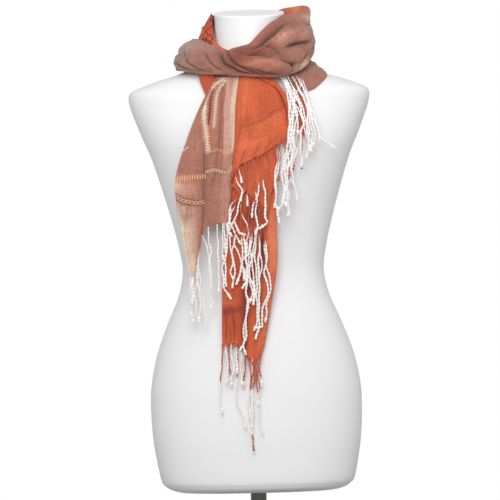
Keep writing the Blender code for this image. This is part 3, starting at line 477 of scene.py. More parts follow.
# The orange reverse shows where the band's inner edge turns over behind the neck.
LINING_TONES = [
    Tone("peach", 116, 0.08, 8, 0.05, 0.6),
    Tone("deep orange", 132, 0.03, 14, 0.07, 0.9),
    Tone("deep orange", 106, 0.12, 6, 0.06, 0.7),
]
INNER_TONES = [
    Tone("orange", 110, 0.10, 62, 0.5, 1.0),
    Tone("deep orange", 78, 0.06, 8, 0.04, 0.8),
    Tone("orange", 215, 0.15, 50, 0.5, 1.0),
]

# One row for each stripe down the front end: its dye, its two edges as the folds that they
# lie on at four ways down, how soft the edges are, its strength, and what is left of that
# strength below the way down where stripes end. All are woven but the deep orange one, which is
# painted shade where the orange lies back at the mauve's edge.
Stripe = namedtuple("Stripe", "dye left right softness strength below")
STRIPE_WAYS = (0.0, 0.2, 0.45, 1.0)
STRIPE_END = 0.44
STRIPE_END_LEAN = 0.012
STRIPE_END_FOLD = 4
STRIPE_END_SOFTNESS = 0.03
FRONT_STRIPES = [
    Stripe("deep mauve", (2.9, 2.9, 3.0, 3.2), (4.1, 3.5, 3.9, 4.2), 0.25, 0.55, 0.6),
    Stripe("cream", (4.1, 3.6, 4.0, 4.2), (5.7, 5.4, 5.6, 5.3), 0.16, 0.95, 0.10),
    Stripe("pink mauve", (4.1, 3.6, 4.0, 4.2), (4.9, 4.5, 4.8, 4.6), 0.35, 0.75, 0.30),
    # Painted shade: a dark strip where the orange lies back at the mauve's edge.
    Stripe("deep orange", (5.6, 5.35, 5.5, 5.9), (5.9, 5.6, 5.8, 6.1), 0.10, 0.5, 1.0),
    Stripe("orange", (5.8, 5.5, 5.7, 6.0), (13.0, 13.0, 13.0, 13.0), 0.06, 1.0, 1.0),
]
# Among these, the deep orange tones on the diagonal crease, at folds 6.9 and 9.3, and on the inner crease, at
# fold 10.2, are painted shade.
FRONT_TONES = [
    Tone("bright orange", 7.0, 0.12, 0.5, 0.3, 0.8),
    Tone("bright orange", 7.6, 0.74, 1.2, 0.22, 0.7),
    Tone("deep orange", 8.7, 0.28, 0.7, 0.22, 0.45),
    Tone("deep orange", 6.9, 0.44, 0.9, 0.08, 0.45),
    Tone("deep orange", 9.3, 0.40, 1.1, 0.05, 0.45),
    Tone("bright orange", 9.6, 0.52, 0.8, 0.10, 0.6),
    Tone("deep orange", 10.2, 0.25, 0.3, 0.3, 0.5),
    Tone("deep orange", 6.2, 0.98, 0.5, 0.12, 0.6),
]
# Lines are painted along a route of folds: their dye, half their width and their strength. Their
# edges are softer than half of that width by this much.
Line = namedtuple("Line", "dye width strength route")
LINE_SOFTNESS = 0.6
# How soft the edge between the front end's mauve and orange is, in folds
ORANGE_SOFTNESS = 0.10
COLUMN_LEFT = [(3.2, 0.01), (1.7, 0.05), (1.0, 0.12), (1.3, 0.20), (1.7, 0.27), (2.0, 0.33),
               (2.2, 0.39), (2.3, 0.42)]
COLUMN_RIGHT = [(3.9, 0.02), (2.7, 0.07), (2.5, 0.14), (2.6, 0.21), (2.6, 0.30)]
SLIT = [(1.5, 0.09), (1.9, 0.16), (2.1, 0.22), (2.15, 0.29)]
DASHES_LEFT = [(0.25, 0.575), (1.4, 0.555), (2.3, 0.545)]
DASHES_RIGHT = [(2.6, 0.425), (3.4, 0.415), (5.0, 0.46), (5.5, 0.475)]
ROPE_LEFT = [(0.0, 0.648), (1.1, 0.665), (2.0, 0.685), (2.5, 0.695)]
ROPE_RIGHT = [(2.3, 0.525), (3.4, 0.52), (4.8, 0.56), (5.4, 0.575)]
FRONT_LINES = [
    Line("brown", 4.6, 0.80, ROPE_LEFT),
    Line("brown", 3.6, 0.75, ROPE_RIGHT),
    Line("pink mauve", 1.2, 0.70, [(4.5, 0.59), (4.7, 0.73), (4.8, 0.97)]),
    Line("cream", 4.2, 0.70, COLUMN_LEFT),
    Line("pink cream", 2.4, 0.60, COLUMN_RIGHT),
    Line("dark red", 1.5, 0.90, SLIT),
    Line("orange", 1.6, 0.85, [(3.2, 0.00), (2.4, 0.03), (1.7, 0.09), (1.8, 0.14), (2.1, 0.20)]),
    Line("orange", 1.5, 0.80, [(2.25, 0.29), (2.3, 0.34), (2.35, 0.39)]),
    Line("deep orange", 2.6, 0.55, [(2.5, 0.88), (2.9, 0.99), (3.6, 1.0), (5.6, 1.0)]),
]
ORANGE_LINES = [
    # The first dark red line is painted shade along the inner crease.
    Line("dark red", 0.9, 0.80, [(8.3, 0.01), (9.0, 0.05), (10.0, 0.14), (10.3, 0.27), (10.5, 0.46),
                                 (10.6, 0.76)]),
    Line("deep orange", 3.4, 0.55, [(9.6, 0.00), (10.9, 0.10), (11.6, 0.26), (11.8, 0.46),
                                    (11.8, 0.80)]),
    Line("dark red", 1.5, 0.75, [(5.9, 1.0), (8.0, 1.0), (10.0, 1.0), (13.0, 1.0)]),
]
LONG_LINES = [
    Line("dark red", 1.5, 0.60, [(0.0, 1.0), (2.0, 1.0), (4.0, 1.0), (6.0, 1.0)]),
]
LEFT_TONES = [
    Tone("blush", -0.2, 0.608, 1.25, 0.034, 0.95),
    Tone("sand", 0.1, 0.80, 1.3, 0.13, 1.0),
    Tone("pale cream", 0.2, 0.97, 1.5, 0.15, 1.0),
    Tone("deep mauve", 1.0, 0.735, 0.5, 0.02, 0.4),
    Tone("deep mauve", 0.6, 0.20, 0.6, 0.3, 0.4),
    Tone("pink mauve", 0.4, 0.42, 0.8, 0.12, 0.25),
    Tone("deep mauve", 2.5, 0.86, 0.6, 0.25, 0.6),
    Tone("pink mauve", 4.0, 0.72, 1.0, 0.2, 0.25),
]
MIDDLE_TONES = [
    # Painted light: the bright orange lightens the shade that the front end casts over the middle.
    Tone("bright orange", 2.5, 0.50, 2.6, 0.40, 0.6),
    Tone("deep orange", 0.6, 0.98, 0.8, 0.10, 0.6),
    Tone("deep orange", 3.4, 1.0, 1.4, 0.06, 0.5),
]
# Painted shadow: the dark line along the hem stands for the shade under its edge.
MIDDLE_LINES = [Line("painted shade maroon", 1.9, 0.95, [(-0.2, 1.0), (1.0, 1.0), (3.0, 1.0), (5.0, 1.0)])]
LONG_TONES = [
    Tone("bright orange", 5.4, 0.55, 1.0, 0.3, 0.5),
    Tone("peach", 5.3, 0.50, 0.8, 0.18, 0.35),
    Tone("peach", 5.6, 0.86, 0.5, 0.10, 0.25),
    Tone("deep orange", 2.9, 0.86, 0.5, 0.2, 0.9),
    Tone("deep orange", 1.0, 0.88, 1.7, 0.09, 0.6),
    Tone("dark red", 0.6, 0.815, 1.0, 0.03, 0.85),
    Tone("dark red", 2.1, 0.80, 0.5, 0.035, 0.6),
    Tone("bright orange", 0.9, 0.775, 1.2, 0.014, 0.7),
    Tone("deep orange", 2.1, 0.70, 0.6, 0.10, 0.6),
    Tone("deep orange", 4.3, 0.77, 0.5, 0.05, 0.4),
    # Painted light: the bright orange lightens the shade that the strands cast there. The deep orange and
    # dark red below it are painted shadow under the middle end's hem.
    Tone("bright orange", 3.0, 0.49, 1.3, 0.06, 0.9),
    Tone("deep orange", 2.6, 0.43, 1.3, 0.03, 0.5),
    Tone("dark red", 2.5, 0.415, 0.9, 0.025, 0.75),
    # Painted shade: the maroon tones darken the long end's deep folds.
    Tone("painted shade maroon", 4.1, 0.52, 0.30, 0.055, 0.9),
    Tone("painted shade maroon", 4.25, 0.60, 0.26, 0.06, 0.7),
    Tone("painted shade maroon", 3.0, 0.635, 0.35, 0.035, 0.8),
]

# One row for each strand of the fringe: how far down from its root it is dyed, and its route as
# x and height. At 0 it is all white, and a length below 0 dyes its tip instead.
ALL_DYED = 400
CORNER_STRANDS = [
    (0, [(-98, 460), (-99, 440), (-98, 418), (-98, 405)]),
    (0, [(-95, 460), (-96, 443), (-96, 424)]),
    (0, [(-93, 461), (-94, 446), (-93, 430)]),
    (6, [(-83, 512), (-85, 487), (-85, 474), (-87, 455), (-92, 437), (-90, 421), (-91, 408),
         (-94, 397), (-95, 393)]),
    (0, [(-85, 471), (-87, 452), (-85, 440), (-83, 424), (-84, 411), (-86, 396)]),
    (0, [(-83, 466), (-83, 443), (-79, 421), (-77, 405), (-76, 386)]),
    (0, [(-73, 513), (-70, 501), (-67, 488), (-68, 475), (-67, 455), (-68, 436), (-68, 427),
         (-64, 420), (-66, 414)]),
    (0, [(-68, 518), (-65, 501), (-68, 486), (-67, 477), (-65, 463), (-66, 447)]),
    (0, [(-54, 518), (-54, 502), (-54, 478), (-54, 455), (-54, 439)]),
    (0, [(-43, 517), (-42, 500), (-44, 486), (-48, 472), (-46, 454), (-46, 442), (-39, 431)]),
    (0, [(-39, 517), (-41, 498), (-43, 480), (-43, 464), (-43, 450)]),
    (0, [(-46, 517), (-47, 503), (-46, 492)]),
]
FRONT_STRANDS = [
    (ALL_DYED, [(46, 666), (44, 646), (45, 626), (43, 613)]),
    (ALL_DYED, [(56, 672), (60, 652), (61, 636), (59, 615)]),
    (16, [(52, 668), (54, 655), (55, 642), (55, 624), (63, 606), (68, 592), (71, 579)]),
    (20, [(55, 672), (57, 658), (59, 643), (57, 624), (55, 605), (50, 586), (48, 575)]),
    (6, [(-19, 627), (-18, 622), (-16, 617), (-15, 612)]),
    (60, [(-27, 617), (-29, 612), (-32, 607), (-29, 601)]),
    (46, [(-9, 632), (-6, 621), (-7, 607), (-10, 597), (-13, 590), (-21, 569), (-23, 556), (-31, 542),
          (-36, 531), (-34, 527)]),
    (54, [(2, 637), (4, 621), (6, 597), (8, 582), (7, 568), (6, 559), (7, 546), (9, 537), (7, 530)]),
    (44, [(11, 643), (12, 626), (13, 607), (11, 592), (7, 579), (3, 571), (0, 560), (0, 555)]),
    (42, [(17, 646), (18, 628), (19, 610), (19, 598), (22, 588), (21, 571), (21, 551), (23, 543),
          (16, 537)]),
    (80, [(26, 652), (29, 634), (24, 614), (25, 596)]),
    (70, [(-3, 636), (-1, 617), (2, 595), (5, 577)]),
    (28, [(37, 657), (41, 641), (39, 626), (37, 610), (38, 599), (39, 589), (37, 578), (37, 571),
          (40, 565)]),
    (30, [(43, 663), (47, 647), (44, 630), (39, 614), (37, 598), (38, 582), (36, 570)]),
    (22, [(50, 669), (54, 655), (51, 637), (48, 620), (49, 605), (51, 591), (48, 578), (51, 572)]),
    (30, [(54, 672), (58, 657), (55, 637), (57, 619), (55, 602), (58, 586), (56, 570), (58, 557)]),
    (14, [(-21, 624), (-23, 615), (-21, 604), (-14, 594), (-16, 583)]),
    (52, [(-7, 598), (-7, 587), (-6, 580), (-6, 574)]),
]
MIDDLE_STRANDS = [
    (14, [(-16, 575), (-17, 566), (-14, 551), (-7, 540), (-6, 531), (-8, 521), (-10, 510), (-10, 502)]),
    (16, [(-23, 559), (-27, 547), (-24, 537), (-21, 528), (-16, 526)]),
    (18, [(-31, 561), (-35, 550), (-33, 541), (-26, 526), (-21, 514)]),
    (8, [(-30, 583), (-32, 572), (-32, 561), (-35, 547), (-36, 533)]),
    (56, [(3, 546), (-1, 524), (-2, 512), (-7, 494), (-15, 488), (-18, 477), (-20, 468), (-24, 454)]),
    (60, [(-27, 522), (-28, 509), (-24, 500), (-19, 488), (-17, 476), (-13, 468), (-14, 458)]),
    (60, [(-26, 525), (-29, 511), (-32, 501), (-31, 484), (-35, 468), (-33, 460)]),
    (20, [(-33, 568), (-36, 547), (-38, 538), (-35, 516), (-33, 494), (-29, 478), (-29, 465),
          (-32, 448)]),
    (46, [(4, 524), (1, 501), (-3, 483), (-6, 468), (-5, 449), (-2, 436), (-5, 423)]),
    (70, [(-9, 509), (-11, 484), (-8, 469), (-4, 453), (1, 438), (-1, 422)]),
    (48, [(8, 533), (3, 496), (4, 477), (5, 461), (5, 437), (4, 430), (5, 406), (4, 389), (1, 380)]),
    (52, [(11, 533), (11, 500), (13, 485), (13, 469), (9, 459)]),
    (56, [(19, 521), (22, 492), (19, 475), (17, 462), (22, 445), (23, 435), (16, 417), (12, 404),
          (12, 388), (13, 382), (9, 381)]),
    (60, [(18, 514), (21, 475), (25, 457), (27, 442), (23, 428), (19, 413), (19, 402), (18, 393)]),
    (56, [(11, 508), (8, 477), (9, 448), (8, 426), (7, 403), (7, 385), (6, 377), (3, 368)]),
    (70, [(-3, 502), (-1, 477), (0, 455), (2, 441), (0, 423)]),
    (64, [(-16, 493), (-17, 477), (-15, 463), (-11, 454), (-15, 447)]),
    (60, [(-10, 477), (-11, 458), (-12, 433), (-10, 427), (-9, 414), (-11, 404), (-14, 394),
          (-13, 380), (-14, 365), (-18, 354), (-16, 343)]),
    (62, [(-8, 471), (-10, 446), (-12, 432), (-10, 417), (-12, 405), (-16, 383), (-18, 370),
          (-16, 358), (-21, 350)]),
]
LONG_LEFT_STRANDS = [
    (58, [(-53, 355), (-51, 335), (-55, 296), (-56, 266), (-54, 254)]),
    (4, [(-46, 354), (-45, 335), (-43, 319), (-46, 299)]),
    (50, [(-41, 354), (-41, 328), (-38, 294)]),
    (3, [(-36, 356), (-38, 341), (-34, 319), (-38, 301)]),
    (6, [(-31, 358), (-29, 345), (-29, 316)]),
    (52, [(-28, 359), (-28, 315), (-31, 283), (-31, 268), (-23, 247), (-18, 228)]),
    (5, [(-23, 364), (-22, 340), (-23, 317), (-22, 296)]),
]
LONG_RIGHT_STRANDS = [
    (-19, [(-5, 326), (-5, 290), (-7, 250), (-8, 220), (-7, 205), (-6, 195)]),
    (48, [(-15, 347), (-15, 334), (-17, 312), (-19, 294)]),
    (52, [(-10, 331), (-9, 318), (-7, 301), (-12, 265), (-10, 242)]),
    (50, [(-6, 327), (-4, 308), (-9, 288), (-7, 266), (-9, 245), (-8, 227)]),
    (46, [(-3, 326), (-2, 300), (-8, 274), (-6, 252), (-8, 234), (-9, 220)]),
    (54, [(1, 327), (1, 300), (3, 263), (4, 238), (7, 220)]),
    (54, [(5, 332), (3, 315), (5, 288), (3, 263)]),
    (40, [(9, 340), (6, 318), (9, 295)]),
]
SIDE_STRANDS = [
    (ALL_DYED, [(70, 767), (76, 740), (78, 715), (77, 696), (75, 672), (70, 652), (66, 630)]),
    (ALL_DYED, [(74, 767), (83, 735), (86, 705), (83, 685), (81, 669), (80, 651), (79, 630)]),
    (0, [(58, 766), (60, 744), (62, 718), (61, 688), (57, 657), (52, 621), (54, 602), (53, 581),
         (57, 559), (56, 556)]),
    (0, [(47, 768), (56, 757), (63, 742), (65, 716), (63, 689), (64, 671), (61, 654), (55, 638),
         (52, 626), (55, 606), (56, 587), (57, 570), (58, 556)]),
    (0, [(50, 767), (59, 755), (67, 736), (68, 704), (62, 671), (65, 647), (57, 624), (56, 600),
         (47, 570), (40, 560), (41, 548)]),
    (0, [(53, 767), (61, 753), (68, 731), (79, 713), (84, 692), (90, 668), (95, 654)]),
    (0, [(56, 767), (66, 749), (71, 735), (67, 703), (67, 679), (68, 653), (63, 633), (65, 611),
         (69, 593), (70, 581)]),
    (0, [(56, 766), (66, 742), (74, 710), (70, 690), (66, 669), (71, 652), (63, 628)]),
    (0, [(59, 767), (72, 747), (81, 726), (87, 702), (89, 682), (96, 662)]),
    (0, [(61, 766), (73, 738), (80, 719), (84, 696), (79, 679), (79, 634)]),
    (0, [(65, 767), (79, 747), (88, 726), (96, 702), (101, 681), (99, 664)]),
    (0, [(68, 767), (81, 745), (91, 720), (94, 696), (97, 674), (93, 657)]),
    (0, [(72, 768), (82, 757), (90, 736), (95, 713), (103, 692), (109, 678), (112, 670), (128, 659)]),
    (0, [(76, 767), (80, 755), (73, 742), (69, 725), (74, 703), (75, 683)]),
    (0, [(78, 768), (85, 751), (93, 728), (101, 705), (106, 686), (108, 673)]),
    (0, [(80, 768), (88, 754), (92, 730), (90, 703), (92, 676), (88, 647)]),
]


# Nets: surfaces through the tables' rows

def curve_weights(count, places):
    """How much each of count stations gives to a smooth curve at each place from 0 to 1."""
    weights = np.zeros((len(places), count))
    for line, place in zip(weights, np.clip(places, 0.0, 1.0) * (count - 1)):
        index = min(int(place), count - 2)
        part = place - index
        shares = (
            0.5 * (-part + 2 * part**2 - part**3),
            0.5 * (2 - 5 * part**2 + 3 * part**3),
            0.5 * (part + 4 * part**2 - 3 * part**3),
            0.5 * (-(part**2) + part**3),
        )
        for station, share in zip(range(index - 1, index + 3), shares):
            if station < 0:
                line[0] += 2 * share
                line[1] -= share
            elif station >= count:
                line[-1] += 2 * share
                line[-2] -= share
            else:
                line[station] += share
    return weights


def net_points(stations, across, down):
    """Points of the surface through rows of stations, at the places across and down."""
    stations = np.asarray(stations, float)
    return np.einsum(
        "ur,rcd,vc->uvd",
        curve_weights(stations.shape[0], across),
        stations,
        curve_weights(stations.shape[1], down),
    )


def unit(vectors):
    return vectors / np.maximum(np.linalg.norm(vectors, axis=-1, keepdims=True), 1e-9)


def net_normals(points, closed=False):
    """Unit normals of a grid of points; closed joins its last row to its first."""
    if closed:
        rows = np.concatenate([points[-2:-1], points, points[1:2]])
        across = (rows[2:] - rows[:-2]) / 2
    else:
        across = np.gradient(points, axis=0)
    return unit(np.cross(np.gradient(points, axis=1), across))


def travelled(points):
    """The distance along a line of points up to each of them."""
    return np.concatenate([[0.0], np.cumsum(np.linalg.norm(np.diff(points, axis=0), axis=1))])


def around(angle, radius, height):
    """Points by their angle from the front, radius from the neck's axis and height."""
    turn = np.radians(angle)
    return np.stack(
        [radius * np.sin(turn), NECK_DEPTH_AXIS - radius * np.cos(turn), height], axis=-1
    )


def neck_stations(sections):
    """The pairs of each section as angle, radius and height."""
    return np.array([[(row.angle, *pair) for pair in row[1:]] for row in sections], float)


def neck_net(stations, across, down):
    """The angles, places and points of cloth round the neck."""
    net = net_points(stations, across, down)
    points = around(net[..., 0], net[..., 1], net[..., 2])
    return net[..., 0], np.broadcast_to(down, net.shape[:2]), points


def hang_depth(x, height, layer, forward):
    """The y of the hanging cloth: layer 0 lies next to the form."""
    rows = sorted(HANG, key=lambda row: row.height)
    heights = [row.height for row in rows]
    depth = np.interp(height, heights, [row.depth for row in rows])
    fall = np.interp(height, heights, [row.fall for row in rows])
    return -(depth - fall * (x / FALL_WIDTH) ** 2 + layer * LAYER_PITCH + forward)


# Relief: creases, ridges and the soft unevenness between them

def smooth_route(route, per_span=6):
    stations = np.asarray(route, float)
    places = np.linspace(0, 1, per_span * (len(stations) - 1) + 1)
    return curve_weights(len(stations), places) @ stations


def follow(route, along, down, lengths):
    """How far each point lies from a route, whether below it, and how far along it from 0 to 1."""
    here = np.stack([along, down], axis=-1) * lengths
    route = smooth_route(route) * lengths
    starts = travelled(route)
    nearest = np.full(along.shape, np.inf)
    below = np.zeros(along.shape, bool)
    passed = np.zeros(along.shape)
    for start, run, before in zip(route, np.diff(route, axis=0), starts):
        length = np.linalg.norm(run)
        offset = here - start
        part = np.clip(offset @ run / length**2, 0.0, 1.0)
        away = np.linalg.norm(offset - part[..., None] * run, axis=-1)
        closer = away < nearest
        nearest = np.where(closer, away, nearest)
        below = np.where(closer, run[0] * offset[..., 1] > run[1] * offset[..., 0], below)
        passed = np.where(closer, before + part * length, passed)
    return nearest, below, passed / starts[-1]


def press(creases, along, down, lengths):
    """How far the creases push each point in, in millimetres, and how deep in a groove it lies."""
    pressed, groove = np.zeros(along.shape), np.zeros(along.shape)
    for crease in creases:
        nearest, below, passed = follow(crease.route, along, down, lengths)
        taper = np.sin(np.pi * np.clip(passed, *CREASE_ENDS)) ** CREASE_TAPER
        spread = np.where(below, crease.below, crease.above)
        pressed += crease.depth * taper * np.exp(-((nearest / spread) ** CREASE_FADE))
        if crease.groove:
            line = crease.groove * taper * np.exp(-((nearest / GROOVE_WIDTH) ** 2))
            pressed += GROOVE_DEPTH * line
            groove = np.maximum(groove, line)
    return pressed, groove


def painted_crease_shade(pressed, groove):
    """Painted shade in creases: a factor that darkens the cloth's colour in grooves and hollows."""
    grooves = 1 - GROOVE_SHADE * np.clip(groove, *GROOVE_RANGE)
    hollows = 1 - HOLLOW_SHADE * np.clip(pressed, *HOLLOW_RANGE)
    return (grooves * hollows)[..., None]


def soft_waves(along, down, kinds):
    """Gentle uneven folds that run mostly along the cloth."""
    relief = np.zeros(along.shape)
    for kind in kinds:
        dice = np.random.default_rng(kind.seed)
        total = np.zeros(along.shape)
        for _ in range(WAVE_COUNT):
            fast = dice.uniform(0.6, 1.6) / kind.down
            slow = dice.normal(0, 0.8) / kind.along + kind.lean * fast
            phase = dice.uniform(0, 2 * math.pi)
            total += dice.uniform(0.5, 1.0) * np.sin(2 * math.pi * (slow * along + fast * down) + phase)
        relief += kind.depth * (total / math.sqrt(WAVE_COUNT))
    return relief


# Colour

def dye(name):
    """A dye's screen colour as linear light."""
    part = np.array(DYES[name]) / 255
    return np.where(part <= 0.04045, part / 12.92, ((part + 0.055) / 1.055) ** 2.4)


def all_over(name, shape):
    return np.broadcast_to(dye(name), (*shape, 3))


def blend(colour, name, share):
    return colour + (dye(name) - colour) * share[..., None]


def tone(colour, tones, along, down):
    for row in tones:
        away = ((along - row.along) / row.reach_along) ** 2 + ((down - row.down) / row.reach_down) ** 2
        colour = blend(colour, row.dye, row.strength * np.exp(-away))
    return colour


def soft_step(value, softness):
    part = np.clip(value / softness + 0.5, 0.0, 1.0)
    return part * part * (3 - 2 * part)


def end_lengths(end):
    """The width of one fold of a hanging end, and the end's length."""
    return end.width / (len(end.folds) - 1), end.length


def paint_lines(colour, lines, end, fold, way):
    for line in lines:
        away = follow(line.route, fold, way, end_lengths(end))[0]
        share = soft_step(line.width - away, line.width / 2 + LINE_SOFTNESS)
        colour = blend(colour, line.dye, line.strength * share)
    return colour


def paint_stripes_and_edge_shade(colour, stripes, fold, down):
    """Stripes that keep to the cloth's folds, among them the front end's painted shade strip."""
    past_end = down - STRIPE_END - STRIPE_END_LEAN * (fold - STRIPE_END_FOLD)
    for stripe in stripes:
        left = np.interp(down, STRIPE_WAYS, stripe.left)
        right = np.interp(down, STRIPE_WAYS, stripe.right)
        inside = soft_step(fold - left, stripe.softness) * soft_step(right - fold, stripe.softness)
        worn = 1 - (1 - stripe.below) * soft_step(past_end, STRIPE_END_SOFTNESS)
        colour = blend(colour, stripe.dye, stripe.strength * inside * worn)
    return colour


# Meshes

def add_object(name, verts, faces, material):
    mesh = bpy.data.meshes.new(name)
    mesh.from_pydata([tuple(v) for v in np.asarray(verts) * MM], [], faces)
    mesh.validate()
    mesh.shade_smooth()
    mesh.materials.append(material)
    return add_to_scene(name, mesh)


def add_to_scene(name, data):
    thing = bpy.data.objects.new(name, data)
    bpy.context.scene.collection.objects.link(thing)
    return thing


def grid_faces(rows, columns, start, closed, flip=False):
    faces = []
    last = rows if closed else rows - 1
    for i in range(last):
        for j in range(columns - 1):
            a = start + i * columns + j
            b = start + (i + 1) % rows * columns + j
            face = (a, b, b + 1, a + 1)
            faces.append(face[::-1] if flip else face)
    return faces


def add_cloth(name, points, material, outer_tint, inner_tint, size, closed=False):
    """A thin closed shell on a grid of points, with its dyes and a map in cloth metres."""
    if closed:
        points, outer_tint, inner_tint = points[:-1], outer_tint[:-1], inner_tint[:-1]
        looped = np.concatenate([points, points[:1]])
        normals = net_normals(looped, closed=True)[:-1]
    else:
        normals = net_normals(points)
    rows, columns = points.shape[:2]
    outer = points + normals * (CLOTH / 2)
    inner = points - normals * (CLOTH / 2)
    count = rows * columns
    faces = grid_faces(rows, columns, 0, closed, flip=True)
    faces += grid_faces(rows, columns, count, closed)

    def rim(cells):
        for a, b in zip(cells, cells[1:]):
            faces.append((a, b, b + count, a + count))

    top = [i * columns for i in range(rows)]
    foot = [i * columns + columns - 1 for i in range(rows)]
    if closed:
        rim(top + top[:1])
        rim((foot + foot[:1])[::-1])
    else:
        first = list(range(columns))
        last = [(rows - 1) * columns + j for j in range(columns)]
        rim(top + last[1:] + foot[::-1][1:] + first[::-1][1:])
    verts = np.concatenate([outer.reshape(-1, 3), inner.reshape(-1, 3)])
    thing = add_object(name, verts, faces, material)
    mesh = thing.data
    tint = mesh.color_attributes.new("tint", "FLOAT_COLOR", "POINT")
    colours = np.ones((2 * count, 4))
    colours[:count, :3] = np.clip(outer_tint.reshape(-1, 3), 0, 1)
    colours[count:, :3] = np.clip(inner_tint.reshape(-1, 3), 0, 1)
    tint.data.foreach_set("color", colours.ravel())
    across, down = np.linspace(0, size[0], rows), np.linspace(0, size[1], columns)
    flat = np.stack(np.meshgrid(across, down, indexing="ij"), axis=-1).reshape(-1, 2) * MM
    flat = np.concatenate([flat, flat])
    corners = np.empty(len(mesh.loops), int)
    mesh.loops.foreach_get("vertex_index", corners)
    layer = mesh.uv_layers.new(name="cloth")
    layer.data.foreach_set("uv", flat[corners].ravel())
    return thing


# Nodes and materials

# One wave of the weave for each yarn: a wave texture of scale 1 repeats after 0.314 metres.
YARN_PITCH = 0.0007
WEAVE_SCALE = 0.314 / YARN_PITCH
# Noise lies mostly between these values.
NOISE_RANGE = (0.3, 0.7)
UNSTRETCHED = (1, 1, 1)


def is_open(socket):
    return socket.enabled and not socket.is_unavailable


def add_node(group, kind, out=None, **settings):
    """An output of a new node, its first or the one named; inputs are values or other outputs."""
    node = group.nodes.new(kind)
    for key, value in settings.items():
        if hasattr(node, key):
            setattr(node, key, value)
            continue
        named = [s for s in node.inputs if is_open(s) and s.name == key.replace("_", " ")]
        socket = named[0] if named else node.inputs[int(key.lstrip("i"))]
        if isinstance(value, bpy.types.NodeSocket):
            group.links.new(value, socket)
        else:
            socket.default_value = value
    return node.outputs[out] if out else next(filter(is_open, node.outputs))


def add_math(group, operation, *values):
    inputs = {f"i{number}": value for number, value in enumerate(values)}
    return add_node(group, "ShaderNodeMath", operation=operation, **inputs)


def multiply(group, first, second):
    return add_node(
        group, "ShaderNodeMix", data_type="RGBA", blend_type="MULTIPLY", Factor=1.0, A=first, B=second
    )


def map_range(group, value, given, wanted=(0.0, 1.0)):
    return add_node(
        group,
        "ShaderNodeMapRange",
        Value=value,
        From_Min=given[0],
        From_Max=given[1],
        To_Min=wanted[0],
        To_Max=wanted[1],
    )


def tint_shade(group, vector, stretch, scale, detail, low, high):
    """Uneven light and dark along stretched noise, as a factor for the colour."""
    mapped = add_node(group, "ShaderNodeMapping", Scale=stretch, Vector=vector)
    noise = add_node(
        group, "ShaderNodeTexNoise", Scale=scale, Detail=detail, Roughness=0.6, Vector=mapped
    )
    return map_range(group, noise, NOISE_RANGE, (low, high)), noise


def add_bump(group, shader, strength, distance, height, normal=None):
    """Relief in a material's surface, over any that is already there."""
    inputs = {"Normal": normal} if normal else {}
    bump = add_node(group, "ShaderNodeBump", Strength=strength, Distance=distance, Height=height, **inputs)
    group.links.new(bump, shader["Normal"])
    return bump


def new_material(name, base=(0.8, 0.8, 0.8), **values):
    """A material, its node tree and its shader's inputs."""
    material = bpy.data.materials.new(name)
    material.use_nodes = True
    shader = material.node_tree.nodes["Principled BSDF"].inputs
    shader["Base Color"].default_value = (*base, 1.0)
    for key, value in values.items():
        shader[key.replace("_", " ")].default_value = value
    return material, material.node_tree, shader


def cloth_material(name):
    """Soft twill: dyes from the piece, uneven yarns, a fine diagonal weave and a faint nap."""
    material, group, shader = new_material(
        name, Roughness=0.88, Sheen_Weight=0.18, Sheen_Roughness=0.55, Specular_IOR_Level=0.25
    )
    colour = add_node(group, "ShaderNodeAttribute", attribute_name="tint")
    cloth = add_node(group, "ShaderNodeUVMap", uv_map="cloth")
    place = add_node(group, "ShaderNodeTexCoord", out="Object")
    streaks, streak = tint_shade(group, cloth, (700, 60, 1), 1.0, 4, 0.80, 1.14)
    cross, _ = tint_shade(group, cloth, (60, 560, 1), 1.0, 3, 0.92, 1.07)
    broad, _ = tint_shade(group, cloth, (150, 9, 1), 1.0, 3, 0.91, 1.07)
    cloudy, cloud = tint_shade(group, place, UNSTRETCHED, 55.0, 5, 0.90, 1.08)
    speckle, _ = tint_shade(group, place, UNSTRETCHED, 430.0, 2, 0.86, 1.12)
    for shade in (streaks, cross, speckle, broad, cloudy):
        colour = multiply(group, colour, shade)
    wave = {"out": "Fac", "Scale": WEAVE_SCALE, "Vector": cloth}
    twill = add_node(
        group, "ShaderNodeTexWave", bands_direction="DIAGONAL", Distortion=1.2, Detail=1.0, **wave
    )
    ribs = add_node(group, "ShaderNodeTexWave", bands_direction="X", Distortion=0.6, **wave)
    weave = add_math(group, "ADD", twill, ribs)
    colour = multiply(group, colour, map_range(group, weave, (0.0, 2.0), (0.90, 1.04)))
    group.links.new(colour, shader["Base Color"])
    fine = add_bump(group, shader, 0.35, 0.00025, add_math(group, "MULTIPLY_ADD", weave, 0.5, streak))
    add_bump(group, shader, 0.35, 0.0022, cloud, fine)
    return material


def figured_material(name):
    """The twill with a small all-over figure of dark curls past a plain border."""
    material = cloth_material(name)
    group = material.node_tree
    base = group.nodes["Principled BSDF"].inputs["Base Color"]
    plain = base.links[0].from_socket
    cloth = add_node(group, "ShaderNodeUVMap", uv_map="cloth")
    wander = add_node(group, "ShaderNodeTexNoise", out="Color", Scale=420.0, Detail=1.0, Vector=cloth)
    bend = (0.0016, 0.0016, 0.0)
    bent = add_node(group, "ShaderNodeVectorMath", operation="MULTIPLY_ADD", i0=wander, i1=bend, i2=cloth)
    cells = add_node(group, "ShaderNodeTexVoronoi", Scale=105.0, Randomness=0.8, Vector=bent)
    curls = add_math(group, "SINE", add_math(group, "MULTIPLY", cells, 13.0))
    across = add_node(group, "ShaderNodeSeparateXYZ", Vector=cloth)
    border = map_range(group, across, (FIGURE_START, FIGURE_START + 0.002))
    strength = add_math(group, "MULTIPLY", map_range(group, curls, (-0.15, 0.3)), border)
    figure = (*dye("dark red"), 1.0)
    worked = add_node(group, "ShaderNodeMix", data_type="RGBA", Factor=strength, A=plain, B=figure)
    group.links.new(worked, base)
    return material


